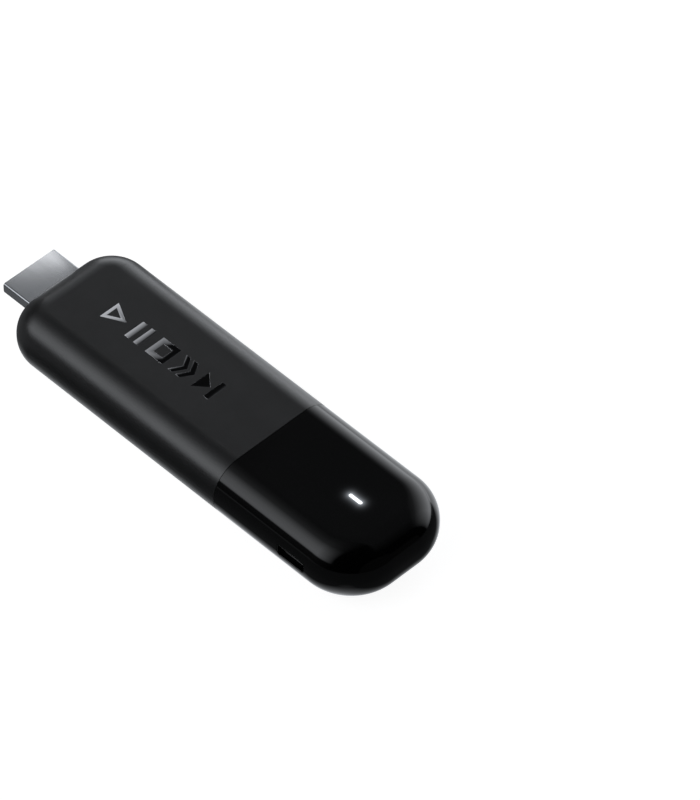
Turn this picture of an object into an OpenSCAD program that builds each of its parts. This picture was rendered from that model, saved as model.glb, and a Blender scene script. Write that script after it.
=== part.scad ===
// Streaming media player stick, lying on its back face.
// +X runs from the video plug to the lamp end, +Z out of the front face.
// The origin is the centre of the bounding box, on the surface it lies on.

/* [Housing] */
// Length of the housing without the plug
housing_length = 100; // [98:0.5:104]
// Width of the housing
housing_width = 31.4; // [31:0.1:33]
// Thickness of the housing
housing_thickness = 14; // [14:0.1:15]
// Radius of the rounded long and short edges, seen in section
edge_radius = 6.8; // [6.6:0.05:6.9]
// Plan radius of the two corners at the plug end
plug_corner = 8.8; // [8.4:0.1:9]
// Plan radius of the two corners at the lamp end
lamp_corner = 12.2; // [11.8:0.1:12.4]
// Distance from the plug end to the seam between sleeve and end cap
seam_distance = 62; // [61:0.5:63]
// Thickness of the casing walls
wall = 1.5; // [1.4:0.05:1.6]
// Length of the end cap's lip inside the sleeve
lip_length = 3; // [2.5:0.1:3.5]
// Wall thickness of that lip
lip_wall = 0.9; // [0.8:0.05:0.9]

/* [Video plug] */
// Length of the plug in front of the housing
plug_reach = 8; // [7.5:0.1:9]
// Width of the plug's wide side
plug_width = 13.9; // [13.8:0.05:13.95]
// Height of the plug
plug_height = 4.45; // [4.4:0.01:4.5]
// Width of the plug's narrow side
plug_narrow = 9.9; // [9.6:0.1:10.2]
// Height of the plug's upright side walls
plug_upright = 2.44; // [2.3:0.02:2.6]
// Thickness of the plug's sheet metal
plug_sheet = 0.35; // [0.3:0.01:0.4]
// How far the plug's centre lies below the middle of the housing
plug_drop = 0.75; // [0.7:0.05:0.8]

/* [Power port] */
// Distance from the plug end to the middle of the power port
port_distance = 83.4; // [83.2:0.1:83.8]
// Width of the hole in the end cap
port_hole_width = 7.2; // [7:0.1:7.4]
// Height of the hole in the end cap
port_hole_height = 2.5; // [2.4:0.1:2.6]
// Depth of the port's metal shell
port_depth = 5; // [4.8:0.1:5]

/* [Lamp] */
// Distance from the plug end to the middle of the lamp window
lamp_distance = 85.4; // [85:0.1:85.6]
// Length of the lamp window
lamp_length = 3.5; // [3.2:0.1:3.8]
// Width of the lamp window
lamp_width = 0.8; // [0.7:0.05:0.9]

/* [Front mark] */
// Distance from the plug end to the middle of the first symbol
mark_distance = 18.2; // [17.5:0.1:18.6]
// Distance between neighbouring symbols
symbol_pitch = 6.5; // [6.3:0.1:6.7]
// Height of the symbols across the stick
symbol_height = 5.2; // [5:0.1:5.6]
// Width of the symbols along the stick
symbol_width = 5; // [4.8:0.1:5.2]
// Width of the strokes
symbol_stroke = 1.3; // [1:0.1:1.4]

/* [Board] */
// Thickness of the circuit board
board_thickness = 1; // [0.9:0.05:1]
// Half width of the carrier frame around the board
carrier_half = 12.6; // [12.4:0.05:12.6]
// Thickness of the carrier's side walls
carrier_wall = 0.9; // [0.8:0.05:0.9]
// Width of the carrier's ledge under the board
carrier_ledge = 2; // [1.8:0.1:2.1]
// Radius of the screws' shanks
screw_radius = 0.75; // [0.7:0.01:0.78]

/* [Hidden] */
$fn = 96;

// Gap left wherever one piece slides into another.
slip = 0.1;
// Overrun of a cutter past the face it cuts.
over = 1;

// Stations along X.
plug_tip_x = -(housing_length + plug_reach) / 2;
plug_end_x = plug_tip_x + plug_reach;
lamp_end_x = plug_end_x + housing_length;
seam_x = plug_end_x + seam_distance;
lip_tip_x = seam_x - lip_length;
collar_end_x = seam_x + 2;
port_x = plug_end_x + port_distance;
lamp_x = plug_end_x + lamp_distance;
mark_x = plug_end_x + mark_distance;

// Levels along Z.
mid_z = housing_thickness / 2;
top_z = housing_thickness;
plug_z = mid_z - plug_drop;
board_top = plug_z + board_thickness / 2;
board_bottom = board_top - board_thickness;
port_z = mid_z + 0.1;
ceiling_z = top_z - wall;

// The lip sits inside the sleeve's inner wall.
lip_inset = wall + slip;
lip_bore = lip_inset + lip_wall;

// The mark is a foil inlay, flush with the front face.
foil_thickness = 0.1;
foil_gap = 0.02;

// Snap tabs on the lip, and the pockets they spring into.
tab_width = 5;
tab_length = 1.2;
tab_height = 0.35;
tab_y = 5;

// Guide ribs on the inside of both casings.
rib_length = 3;
rib_bottom = 5.5;
rib_height = 2.5;
rib_stations = [plug_end_x + 12, plug_end_x + 52, plug_end_x + 70];

// Carrier and board outlines.
carrier_start_x = plug_end_x + 6;
carrier_end_x = lamp_end_x - 3.9;
carrier_plug_corner = 3;
carrier_lamp_corner = lamp_corner - 3.1;
carrier_base = 0.8;
carrier_top = 8.2;
board_inset = carrier_wall + slip;
boss_radius = 1.8;
boss_depth = 2.2;
beam_width = 2.5;
beam_stations = [0, 22];

// Screws: two near the plug, two near the lamp end.
screw_places = [
    [plug_end_x + 10, 9.2], [plug_end_x + 10, -9.2],
    [lamp_end_x - 10, 9], [lamp_end_x - 10, -9]
];
screw_head_radius = 1.4;
screw_head_height = 0.7;
screw_length = 2.9;
screw_recess_radius = 0.7;
screw_recess_depth = 0.35;

// Contacts of the video plug.
contact_pitch = 1;
contact_width = 0.45;
contact_thickness = 0.2;
contact_start_x = plug_tip_x + 1.4;
contact_end_x = carrier_start_x + 3;
insulator_start_x = plug_tip_x + 0.7;
plug_shell_end_x = carrier_start_x - 0.2;
insulator_end_x = plug_shell_end_x + 0.8;
insulator_slot_depth = 7.8;
insulator_slot_half = 5.9;
latch_window = 2.3;
latch_window_y = 2.65;
latch_window_start_x = plug_tip_x + 2.6;

// Power port.
port_shell_width = 7.5;
port_shell_height = 2.45;
port_sheet = 0.3;
port_mouth_y = -(housing_width / 2 - wall - 0.2);
port_back_y = port_mouth_y + port_depth;
port_notch_width = port_shell_width + 0.2;
tongue_width = 3.7;
tongue_thickness = 0.6;
tongue_base = 1.2;
tongue_lead = 0.9;
port_contact_pitch = 0.65;
port_contact_width = 0.35;
port_contact_thickness = 0.12;

// Light pipe and its shroud.
pipe_flange_length = 6;
pipe_flange_width = 3.2;
pipe_flange_height = 0.6;
pipe_stem_length = 3.6;
pipe_stem_width = 1.8;
lamp_chip_height = 0.6;
pipe_gap = 0.25;
shroud_wall = 0.8;

// Shield cans.
fence_sheet = 0.2;
fence_height_front = 1.8;
fence_height_back = 1.6;
front_can = [plug_end_x + 16, plug_end_x + 52, 10.3];
back_can = [plug_end_x + 18, plug_end_x + 42, 9.4];
chip_height = 1;

// Thermal stack.
pad_front_height = 1.25;
pad_back_height = 1;
spreader_plate = 1;
spreader_back_plate = 0.8;
spreader_half = 8.8;
spreader_start_x = plug_end_x + 9;
spreader_end_x = lip_tip_x - 1;

// Antennas.
antenna_sheet = 0.3;
antenna_length = 12;
antenna_top = 10.6;
antenna_flange = 3;
antenna_side_x = 24;
antenna_side_y = carrier_half - 1.6;
antenna_end_x = lamp_end_x - 5.5;
lead_radius = 0.4;
lead_plug_radius = 1.1;
lead_plug_height = 0.9;
radio_size = 12;
radio_height = 1.6;
radio_x = seam_x - 1;
lead_plug_x = radio_x + 4.4;
lead_plug_y = 4;
lead_z = board_top + radio_height + lead_plug_height / 2;
lead_bend = 2;

// ---- building blocks ----

// Box given by its lowest and highest corner.
module block(low, high) {
    translate(low) cube(high - low);
}

// Quarter of a disc, in the first quadrant.
module quarter_disc(r) {
    intersection() {
        circle(r);
        square(r);
    }
}

// Section of one rounded edge: r wide, h high, its outer side rounded.
module edge_profile(r, h) {
    translate([0, h - r]) quarter_disc(r);
    translate([0, r]) square([r, h - 2 * r]);
    translate([0, r]) mirror([0, 1]) quarter_disc(r);
}

// Whole section across the stick: w wide, h high, both sides rounded.
module full_section(w, h, r) {
    flat = w - 2 * r;
    translate([-flat / 2, 0]) square([flat, h]);
    translate([flat / 2, 0]) edge_profile(r, h);
    translate([-flat / 2, 0]) mirror([1, 0]) edge_profile(r, h);
}

// Straight run of the full section between two stations, set in by inset all round.
module run(x0, x1, inset) {
    translate([x0, 0, inset]) rotate([90, 0, 90]) linear_extrude(x1 - x0)
        full_section(
            housing_width - 2 * inset,
            housing_thickness - 2 * inset,
            edge_radius - inset
        );
}

// Half section of an end: a solid core, then the rounded edge.
module end_profile(corner, inset) {
    r = edge_radius - inset;
    h = housing_thickness - 2 * inset;
    square([corner - edge_radius, h]);
    translate([corner - edge_radius, 0]) edge_profile(r, h);
}

// Rounded end of the stick. Its inner plane is at x = 0 and it points along +X.
module rounded_end(corner, inset) {
    straight = housing_width - 2 * corner;
    translate([0, straight / 2, inset]) rotate([90, 0, 0]) linear_extrude(straight)
        end_profile(corner, inset);
    translate([0, straight / 2, inset]) rotate_extrude(angle = 90) end_profile(corner, inset);
    translate([0, -straight / 2, inset]) rotate([0, 0, -90])
        rotate_extrude(angle = 90) end_profile(corner, inset);
}

module plug_end(inset) {
    translate([plug_end_x + plug_corner, 0, 0]) mirror([1, 0, 0]) rounded_end(plug_corner, inset);
}

module lamp_end(inset) {
    translate([lamp_end_x - lamp_corner, 0, 0]) rounded_end(lamp_corner, inset);
}

// Plan outline with rounded corners: radius ra at x0, rb at x1.
module plan(x0, x1, half, ra, rb) {
    translate([x0 + ra, -half]) square([x1 - rb - x0 - ra, 2 * half]);
    translate([x0, -half + ra]) square([ra, 2 * (half - ra)]);
    translate([x1 - rb, -half + rb]) square([rb, 2 * (half - rb)]);
    for (side = [-1, 1]) {
        translate([x1 - rb, side * (half - rb)]) scale_y(side) quarter_disc(rb);
        translate([x0 + ra, side * (half - ra)]) scale_y(side) mirror([1, 0]) quarter_disc(ra);
    }
}

// Mirrors its children over the X axis when side is -1.
module scale_y(side) {
    if (side < 0) mirror([0, 1]) children();
    else children();
}

// The carrier's outline, set in by inset.
module carrier_plan(inset) {
    plan(
        carrier_start_x + inset, carrier_end_x - inset, carrier_half - inset,
        carrier_plug_corner - inset, carrier_lamp_corner - inset
    );
}

// Section of the video plug, seen along X: 2D x is Y, 2D y is Z from the plug's centre.
module plug_profile(grow) {
    half = plug_width / 2 + grow;
    narrow = plug_narrow / 2 + grow * 0.8;
    high = plug_height / 2 + grow;
    knee = plug_height / 2 - plug_upright - grow * 0.2;
    polygon([[-half, high], [half, high], [half, knee], [narrow, -high], [-narrow, -high], [-half, knee]]);
}

// Solid of the plug's section between two stations.
module plug_bar(x0, x1, grow) {
    translate([x0, 0, plug_z]) rotate([90, 0, 90]) linear_extrude(x1 - x0) plug_profile(grow);
}

// Row of straight contact strips between two levels, n of them, around y = 0.
module contact_row(n, z0, grow) {
    for (i = [0 : n - 1]) {
        y = (i - (n - 1) / 2) * contact_pitch;
        block(
            [contact_start_x - grow, y - contact_width / 2 - grow, z0 - grow],
            [contact_end_x, y + contact_width / 2 + grow, z0 + contact_thickness + grow]
        );
    }
}

// Slot with round ends along X, as a solid between two levels.
module bar_hole(x, length, width, z0, z1) {
    straight = length - width;
    block([x - straight / 2, -width / 2, z0], [x + straight / 2, width / 2, z1]);
    for (side = [-1, 1])
        translate([x + side * straight / 2, 0, z0]) rotate([0, 0, -90 * side - 90])
            rotate_extrude(angle = 180) square([width / 2, z1 - z0]);
}

// Section of the power port, seen along Y, with its two lower corners cut off.
module port_profile(width, height, cut) {
    w = width / 2;
    h = height / 2;
    polygon([[-w, h], [w, h], [w, -h + cut], [w - cut, -h], [-w + cut, -h], [-w, -h + cut]]);
}

// Solid of a port section between two Y values.
module port_bar(y0, y1, width, height, cut) {
    translate([port_x, y1, port_z]) rotate([90, 0, 0]) linear_extrude(y1 - y0)
        port_profile(width, height, cut);
}

// Rectangular can: [x0, x1, half width], between two levels.
module can_block(can, inset, z0, z1) {
    block([can[0] + inset, -can[2] + inset, z0], [can[1] - inset, can[2] - inset, z1]);
}

// Fence of folded sheet around a can's outline.
module fence(can, z0, z1) {
    difference() {
        can_block(can, 0, z0, z1);
        can_block(can, fence_sheet, z0 - over, z1 + over);
    }
}

// ---- symbols of the front mark, each drawn around the origin ----

module play_symbol() {
    w = symbol_width / 2;
    h = symbol_height / 2;
    inset = 0.6 * symbol_stroke;
    slope = h / symbol_width;
    drop = inset * sqrt(1 + slope * slope);
    corner = h - inset * slope - drop;
    difference() {
        polygon([[-w, -h], [w, 0], [-w, h]]);
        polygon([[-w + inset, -corner], [-w + (h - drop) / slope, 0], [-w + inset, corner]]);
    }
}

module pause_symbol() {
    for (side = [-1, 1])
        translate([side * symbol_width / 4, 0]) square([symbol_stroke, symbol_height], center = true);
}

module stop_symbol() {
    difference() {
        square([symbol_width, symbol_height], center = true);
        square([symbol_width - 2 * symbol_stroke, symbol_height - 2 * symbol_stroke], center = true);
    }
}

// One arrow head of the forward symbol, its outer edge on x = 0.
module chevron(depth) {
    h = symbol_height / 2;
    polygon([
        [0, h], [symbol_stroke, h], [symbol_stroke + depth, 0],
        [symbol_stroke, -h], [0, -h], [depth, 0]
    ]);
}

module forward_symbol() {
    gap = 0.8;
    depth = symbol_width - 2 * symbol_stroke - gap;
    for (step = [0, 1])
        translate([-symbol_width / 2 + step * (symbol_stroke + gap), 0]) chevron(depth);
}

module skip_symbol() {
    w = symbol_width / 2;
    h = symbol_height / 2;
    polygon([[-w, -h], [w - symbol_stroke - 0.6, 0], [-w, h]]);
    translate([w - symbol_stroke / 2, 0]) square([symbol_stroke, symbol_height], center = true);
}

// All five symbols in a row along the stick, as a solid from z0 upwards.
module mark_solid(z0, z1) {
    translate([mark_x, 0, z0]) linear_extrude(z1 - z0) play_symbol();
    translate([mark_x + symbol_pitch, 0, z0]) linear_extrude(z1 - z0) pause_symbol();
    translate([mark_x + 2 * symbol_pitch, 0, z0]) linear_extrude(z1 - z0) stop_symbol();
    translate([mark_x + 3 * symbol_pitch, 0, z0]) linear_extrude(z1 - z0) forward_symbol();
    translate([mark_x + 4 * symbol_pitch, 0, z0]) linear_extrude(z1 - z0) skip_symbol();
}

// Snap tabs of the lip. The same shape, grown, cuts their pockets.
module snap_tabs(grow) {
    root = lip_inset;
    for (y = [-tab_y, tab_y]) {
        x0 = lip_tip_x + lip_length / 2 - tab_length / 2 - grow;
        x1 = lip_tip_x + lip_length / 2 + tab_length / 2 + grow;
        y0 = y - tab_width / 2 - grow;
        y1 = y + tab_width / 2 + grow;
        block([x0, y0, top_z - root], [x1, y1, top_z - root + tab_height + grow]);
        block([x0, y0, root - tab_height - grow], [x1, y1, root]);
    }
}

// Pair of guide ribs, one on each side wall, starting at x.
module guide_ribs(x) {
    reach = housing_width / 2 - wall / 2;
    for (side = [-1, 1]) {
        inner = carrier_half + slip;
        y0 = side > 0 ? inner : -reach;
        y1 = side > 0 ? reach : -inner;
        block([x, y0, rib_bottom], [x + rib_length, y1, rib_bottom + rib_height]);
    }
}

// ---- casing ----

module casing_sleeve() {
    inside_end = plug_end_x + plug_corner;
    color("#2b2b2d") {
        difference() {
            union() {
                run(inside_end, seam_x, 0);
                plug_end(0);
            }
            run(inside_end, seam_x + over, wall);
            plug_end(wall);
            plug_bar(plug_end_x - over, plug_end_x + wall + over, slip);
            mark_solid(top_z - foil_thickness - foil_gap, top_z + over);
            snap_tabs(slip);
        }
        guide_ribs(rib_stations[0]);
        guide_ribs(rib_stations[1]);
    }
}

module end_cap() {
    inside_end = lamp_end_x - lamp_corner;
    hole_y = -housing_width / 2;
    color("#0b0b0c") {
        difference() {
            union() {
                run(seam_x, inside_end, 0);
                lamp_end(0);
                run(lip_tip_x, seam_x, lip_inset);
                snap_tabs(0);
            }
            run(lip_tip_x - over, collar_end_x, lip_bore);
            run(collar_end_x, inside_end, wall);
            lamp_end(wall);
            bar_hole(lamp_x, lamp_length, lamp_width, ceiling_z - over, top_z + over);
            port_bar(hole_y - over, hole_y + wall + over, port_hole_width, port_hole_height, 0.6);
        }
        guide_ribs(rib_stations[2]);
    }
}

module front_mark() {
    color("#d8d8dc") mark_solid(top_z - foil_thickness, top_z);
}

// ---- lamp ----

module light_pipe() {
    flange_z = ceiling_z - pipe_flange_height;
    stem_z = board_top + lamp_chip_height + pipe_gap;
    color("white") {
        bar_hole(lamp_x, lamp_length - 0.04, lamp_width - 0.04, ceiling_z, top_z);
        block(
            [lamp_x - pipe_flange_length / 2, -pipe_flange_width / 2, flange_z],
            [lamp_x + pipe_flange_length / 2, pipe_flange_width / 2, ceiling_z]
        );
        block(
            [lamp_x - pipe_stem_length / 2, -pipe_stem_width / 2, stem_z],
            [lamp_x + pipe_stem_length / 2, pipe_stem_width / 2, flange_z]
        );
    }
}

module light_shroud() {
    length = pipe_stem_length / 2 + slip;
    width = pipe_stem_width / 2 + slip;
    shroud_top = ceiling_z - pipe_flange_height;
    color("#1b1b1b") difference() {
        block(
            [lamp_x - length - shroud_wall, -width - shroud_wall, board_top],
            [lamp_x + length + shroud_wall, width + shroud_wall, shroud_top]
        );
        block(
            [lamp_x - length, -width, board_top - over],
            [lamp_x + length, width, shroud_top + over]
        );
    }
}

module lamp_chip() {
    color("#f4f1e4") block([lamp_x - 0.8, -0.4, board_top], [lamp_x + 0.8, 0.4, board_top + lamp_chip_height]);
}

// ---- video plug ----

module plug_shell() {
    leg_inner = plug_width / 2 - 1.5;
    leg_outer = plug_width / 2 - 0.4;
    color("#b9bcc0") {
        difference() {
            plug_bar(plug_tip_x, plug_shell_end_x, 0);
            plug_bar(plug_tip_x - over, plug_shell_end_x + over, -plug_sheet);
            for (side = [-1, 1])
                block(
                    [latch_window_start_x, side * latch_window_y - latch_window / 2, plug_z - plug_height],
                    [latch_window_start_x + latch_window, side * latch_window_y + latch_window / 2, plug_z - 1]
                );
        }
        for (side = [-1, 1]) {
            y0 = side > 0 ? leg_inner : -leg_outer;
            y1 = side > 0 ? leg_outer : -leg_inner;
            rise = plug_z + plug_height / 2 - plug_sheet;
            block([plug_shell_end_x, y0, rise], [plug_shell_end_x + 2.2, y1, rise + plug_sheet]);
            block([plug_shell_end_x + 1.85, y0, board_top], [plug_shell_end_x + 2.2, y1, rise]);
        }
    }
}

module plug_insulator() {
    slot_half = board_thickness / 2 + contact_thickness;
    color("#161616") difference() {
        plug_bar(insulator_start_x, insulator_end_x, -plug_sheet - 0.03);
        block(
            [insulator_start_x - over, -insulator_slot_half, plug_z - slot_half],
            [insulator_start_x + insulator_slot_depth, insulator_slot_half, plug_z + slot_half]
        );
        contact_row(10, board_top, 0.01);
        contact_row(9, board_bottom - contact_thickness, 0.01);
        block(
            [insulator_end_x - 0.4, -plug_width / 2, board_bottom],
            [insulator_end_x + over, plug_width / 2, board_top]
        );
    }
}

module plug_contacts_upper() {
    color("#d9b45b") contact_row(10, board_top, 0);
}

module plug_contacts_lower() {
    color("#d9b45b") contact_row(9, board_bottom - contact_thickness, 0);
}

// ---- power port ----

module port_shell() {
    outer_cut = 0.7;
    inner_cut = 0.58;
    color("#aeb1b5") {
        difference() {
            port_bar(port_mouth_y, port_back_y, port_shell_width, port_shell_height, outer_cut);
            port_bar(
                port_mouth_y - over, port_back_y + over,
                port_shell_width - 2 * port_sheet, port_shell_height - 2 * port_sheet, inner_cut
            );
        }
        for (side = [-1, 1]) {
            inner = port_shell_width / 2;
            x0 = port_x + (side > 0 ? inner : -inner - 1);
            block([x0, port_back_y - 1.6, board_top], [x0 + 1, port_back_y - 0.2, board_top + port_sheet]);
        }
    }
}

module port_tongue() {
    back_width = port_shell_width - 2 * port_sheet - 0.04;
    back_height = port_shell_height - 2 * port_sheet - 0.04;
    tongue_z = port_z + 0.12;
    color("#101010") difference() {
        union() {
            port_bar(port_back_y - tongue_base, port_back_y, back_width, back_height, 0.58);
            block(
                [port_x - tongue_width / 2, port_mouth_y + tongue_lead, tongue_z],
                [port_x + tongue_width / 2, port_back_y - tongue_base, tongue_z + tongue_thickness]
            );
        }
        port_contact_row(0.01);
    }
}

// Contact strips of the power port, lying on the underside of the tongue.
module port_contact_row(grow) {
    z0 = port_z + 0.12 - port_contact_thickness;
    for (i = [-2 : 2])
        block(
            [
                port_x + i * port_contact_pitch - port_contact_width / 2 - grow,
                port_mouth_y + tongue_lead + 0.2,
                z0 - grow
            ],
            [
                port_x + i * port_contact_pitch + port_contact_width / 2 + grow,
                port_back_y + 0.8,
                z0 + port_contact_thickness
            ]
        );
}

module port_contacts() {
    color("#d9b45b") port_contact_row(0);
}

// ---- carrier and board ----

module inner_carrier() {
    base_z = board_bottom - carrier_base;
    plug_gap = plug_width / 2 + 0.4;
    port_gap = port_notch_width / 2 + 1.2;
    color("#3a3a3e") difference() {
        union() {
            translate([0, 0, base_z]) linear_extrude(carrier_base) difference() {
                carrier_plan(0);
                carrier_plan(carrier_ledge);
            }
            translate([0, 0, board_bottom]) linear_extrude(carrier_top - board_bottom) difference() {
                carrier_plan(0);
                carrier_plan(carrier_wall);
            }
            for (place = screw_places)
                translate([place[0], place[1], board_bottom - boss_depth])
                    cylinder(r = boss_radius, h = boss_depth);
            for (x = beam_stations)
                block(
                    [x, -carrier_half + carrier_wall, base_z],
                    [x + beam_width, carrier_half - carrier_wall, board_bottom]
                );
        }
        for (place = screw_places)
            translate([place[0], place[1], board_bottom - boss_depth - over])
                cylinder(r = screw_radius + 0.05, h = boss_depth + 2 * over);
        block(
            [carrier_start_x - over, -plug_gap, 0],
            [carrier_start_x + carrier_ledge + over, plug_gap, top_z]
        );
        block(
            [port_x - port_gap, -carrier_half - over, board_bottom],
            [port_x + port_gap, -carrier_half + carrier_ledge, top_z]
        );
    }
}

module carrier_screws() {
    color("#c4c6c9") for (place = screw_places)
        translate([place[0], place[1], board_top]) difference() {
            union() {
                cylinder(r = screw_head_radius, h = screw_head_height);
                translate([0, 0, -screw_length]) cylinder(r = screw_radius, h = screw_length);
            }
            for (turn = [0, 90])
                rotate([0, 0, turn]) translate([0, 0, screw_head_height - screw_recess_depth / 2])
                    cube([2 * screw_recess_radius, 0.3, screw_recess_depth + 0.02], center = true);
        }
}

module main_board() {
    notch_back = port_back_y + 0.05;
    color("#1d3a2a") difference() {
        translate([0, 0, board_bottom]) linear_extrude(board_thickness) carrier_plan(board_inset);
        for (place = screw_places)
            translate([place[0], place[1], board_bottom - over])
                cylinder(r = screw_radius + 0.15, h = board_thickness + 2 * over);
        block(
            [port_x - port_notch_width / 2, -carrier_half - over, board_bottom - over],
            [port_x + port_notch_width / 2, notch_back, board_top + over]
        );
    }
}

// ---- chips ----

// Chip body standing on the board's front side.
module front_chip(x, y, size, height) {
    block([x - size[0] / 2, y - size[1] / 2, board_top], [x + size[0] / 2, y + size[1] / 2, board_top + height]);
}

processor_x = front_can[0] + 9.5;
processor_size = [14, 14];

module processor() {
    color("#202124") front_chip(processor_x, 0, processor_size, chip_height);
}

module memory_chips() {
    color("#202124") for (x = [front_can[0] + 22, front_can[0] + 30.5])
        front_chip(x, 0, [7.5, 13.3], chip_height);
}

module storage_chip() {
    color("#202124") block(
        [back_can[0] + 6, -6.5, board_bottom - chip_height],
        [back_can[0] + 17.5, 6.5, board_bottom]
    );
}

module power_chip() {
    color("#202124") front_chip(radio_x + 15.5, -1.2, [4, 4], 0.8);
}

module radio_module() {
    color("#b4b6b9") front_chip(radio_x, 0, [radio_size, radio_size], radio_height);
}

module inductors() {
    color("#4b4a48") for (place = [[30, 3.2], [30, 8], [35, -5.6]])
        front_chip(place[0], place[1], [3, 3], 1.5);
}

module capacitors() {
    color("#b08a5c") {
        for (i = [0 : 4]) front_chip(23.5 + 2 * i, -10.3, [1, 1.6], 0.8);
        for (i = [0 : 7]) front_chip(carrier_start_x + 7, -7 + 2 * i, [1.6, 0.8], 0.8);
        for (i = [0 : 4]) front_chip(34.5, 1.5 + 1.8 * i, [1.6, 0.8], 0.8);
    }
}

module clock_crystal() {
    color("#c9cbce") front_chip(24.5, -7.2, [3.2, 2.5], 0.7);
}

// ---- shields and heat path ----

module shield_fence_front() {
    color("#a9abad") fence(front_can, board_top, board_top + fence_height_front);
}

module shield_lid_front() {
    z = board_top + fence_height_front;
    color("#bfc1c4") can_block(front_can, 0, z, z + fence_sheet);
}

module shield_fence_back() {
    color("#a9abad") fence(back_can, board_bottom - fence_height_back, board_bottom);
}

module shield_lid_back() {
    z = board_bottom - fence_height_back;
    color("#bfc1c4") can_block(back_can, 0, z - fence_sheet, z);
}

module chip_pad() {
    color("#8fa3b0") translate([0, 0, chip_height])
        front_chip(processor_x, 0, processor_size, fence_height_front - chip_height);
}

module thermal_pad_front() {
    z = board_top + fence_height_front + fence_sheet;
    color("#8fa3b0") can_block(front_can, 2, z, z + pad_front_height);
}

module thermal_pad_back() {
    z = board_bottom - fence_height_back - fence_sheet;
    color("#8fa3b0") can_block(back_can, 1.5, z - pad_back_height, z);
}

// A flat plate against the casing, with a raised field that reaches the pad.
module heat_spreader_front() {
    pad_z = board_top + fence_height_front + fence_sheet + pad_front_height;
    plate_z = ceiling_z - spreader_plate;
    color("#c6c8cb") {
        block([spreader_start_x, -spreader_half, plate_z], [spreader_end_x, spreader_half, ceiling_z]);
        can_block(front_can, 2, pad_z, plate_z);
    }
}

module heat_spreader_back() {
    pad_z = board_bottom - fence_height_back - fence_sheet - pad_back_height;
    plate_z = wall + spreader_back_plate;
    color("#c6c8cb") {
        block([spreader_start_x, -spreader_half, wall], [spreader_end_x, spreader_half, plate_z]);
        can_block(back_can, 1.5, plate_z, pad_z);
    }
}

// ---- antennas ----

// Angle of sheet metal: an upright standing on the board, and a flange along its top.
module antenna_side() {
    color("#c8a255") {
        block(
            [antenna_side_x, antenna_side_y - antenna_sheet, board_top],
            [antenna_side_x + antenna_length, antenna_side_y, antenna_top]
        );
        block(
            [antenna_side_x, antenna_side_y - antenna_flange, antenna_top - antenna_sheet],
            [antenna_side_x + antenna_length, antenna_side_y - antenna_sheet, antenna_top]
        );
    }
}

module antenna_end() {
    half = antenna_length / 2 - 1;
    color("#c8a255") {
        block([antenna_end_x - antenna_sheet, -half, board_top], [antenna_end_x, half, antenna_top]);
        block(
            [antenna_end_x - antenna_flange, -half, antenna_top - antenna_sheet],
            [antenna_end_x - antenna_sheet, half, antenna_top]
        );
    }
}

// One lead turns towards the side antenna, the other runs straight to the end one.
module antenna_leads() {
    start_x = lead_plug_x + lead_plug_radius;
    bend_x = antenna_side_x - 0.5;
    color("#24262a") {
        translate([start_x, lead_plug_y, lead_z]) rotate([0, 90, 0])
            cylinder(r = lead_radius, h = bend_x - start_x);
        translate([bend_x, lead_plug_y + lead_bend, lead_z]) rotate([0, 0, -90])
            rotate_extrude(angle = 90) translate([lead_bend, 0]) circle(lead_radius);
        translate([bend_x + lead_bend, lead_plug_y + lead_bend, lead_z]) rotate([-90, 0, 0])
            cylinder(r = lead_radius, h = antenna_side_y - antenna_sheet - lead_plug_y - lead_bend);
        translate([start_x, -lead_plug_y, lead_z]) rotate([0, 90, 0])
            cylinder(r = lead_radius, h = antenna_end_x - antenna_sheet - start_x);
    }
}

module antenna_plugs() {
    color("#d4b264") for (side = [-1, 1])
        translate([lead_plug_x, side * lead_plug_y, board_top + radio_height])
            cylinder(r = lead_plug_radius, h = lead_plug_height);
}

casing_sleeve();
end_cap();
front_mark();
light_pipe();
light_shroud();
plug_shell();
plug_insulator();
plug_contacts_upper();
plug_contacts_lower();
port_shell();
port_tongue();
port_contacts();
inner_carrier();
carrier_screws();
main_board();
processor();
memory_chips();
storage_chip();
power_chip();
radio_module();
inductors();
capacitors();
clock_crystal();
lamp_chip();
shield_fence_front();
shield_lid_front();
shield_fence_back();
shield_lid_back();
chip_pad();
thermal_pad_front();
thermal_pad_back();
heat_spreader_front();
heat_spreader_back();
antenna_side();
antenna_end();
antenna_leads();
antenna_plugs();
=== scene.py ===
"""Finished look of a slim media player stick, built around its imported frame.

Every piece is made in metres in the frame's own axes: +X runs from the video plug to the lamp end,
+Y away from the power port, +Z out of the front face.
"""

import logging
import math
from collections.abc import Iterable, Sequence
from dataclasses import dataclass
from enum import Enum

import bmesh
import bpy
from bmesh.types import BMesh, BMEdge, BMFace
from mathutils import Matrix, Vector


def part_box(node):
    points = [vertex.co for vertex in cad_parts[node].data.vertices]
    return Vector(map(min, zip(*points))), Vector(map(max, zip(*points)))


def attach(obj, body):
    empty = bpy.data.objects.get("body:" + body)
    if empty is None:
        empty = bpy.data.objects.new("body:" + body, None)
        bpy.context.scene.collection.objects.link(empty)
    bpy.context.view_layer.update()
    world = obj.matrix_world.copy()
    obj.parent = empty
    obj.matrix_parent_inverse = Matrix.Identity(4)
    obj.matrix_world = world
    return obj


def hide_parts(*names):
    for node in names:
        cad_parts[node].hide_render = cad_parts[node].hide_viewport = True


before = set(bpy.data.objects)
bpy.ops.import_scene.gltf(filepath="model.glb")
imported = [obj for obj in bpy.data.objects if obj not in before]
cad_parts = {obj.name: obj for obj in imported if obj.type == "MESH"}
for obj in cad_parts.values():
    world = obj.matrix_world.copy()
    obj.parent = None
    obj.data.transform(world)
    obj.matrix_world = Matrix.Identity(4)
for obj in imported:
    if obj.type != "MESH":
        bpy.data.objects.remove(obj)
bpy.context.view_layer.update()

LOG = logging.getLogger("stick")
MM = 0.001
ROOT = "root"
TOUCH = 1e-7
WELD = TOUCH * 10
THIN = 0.01 * MM
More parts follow.
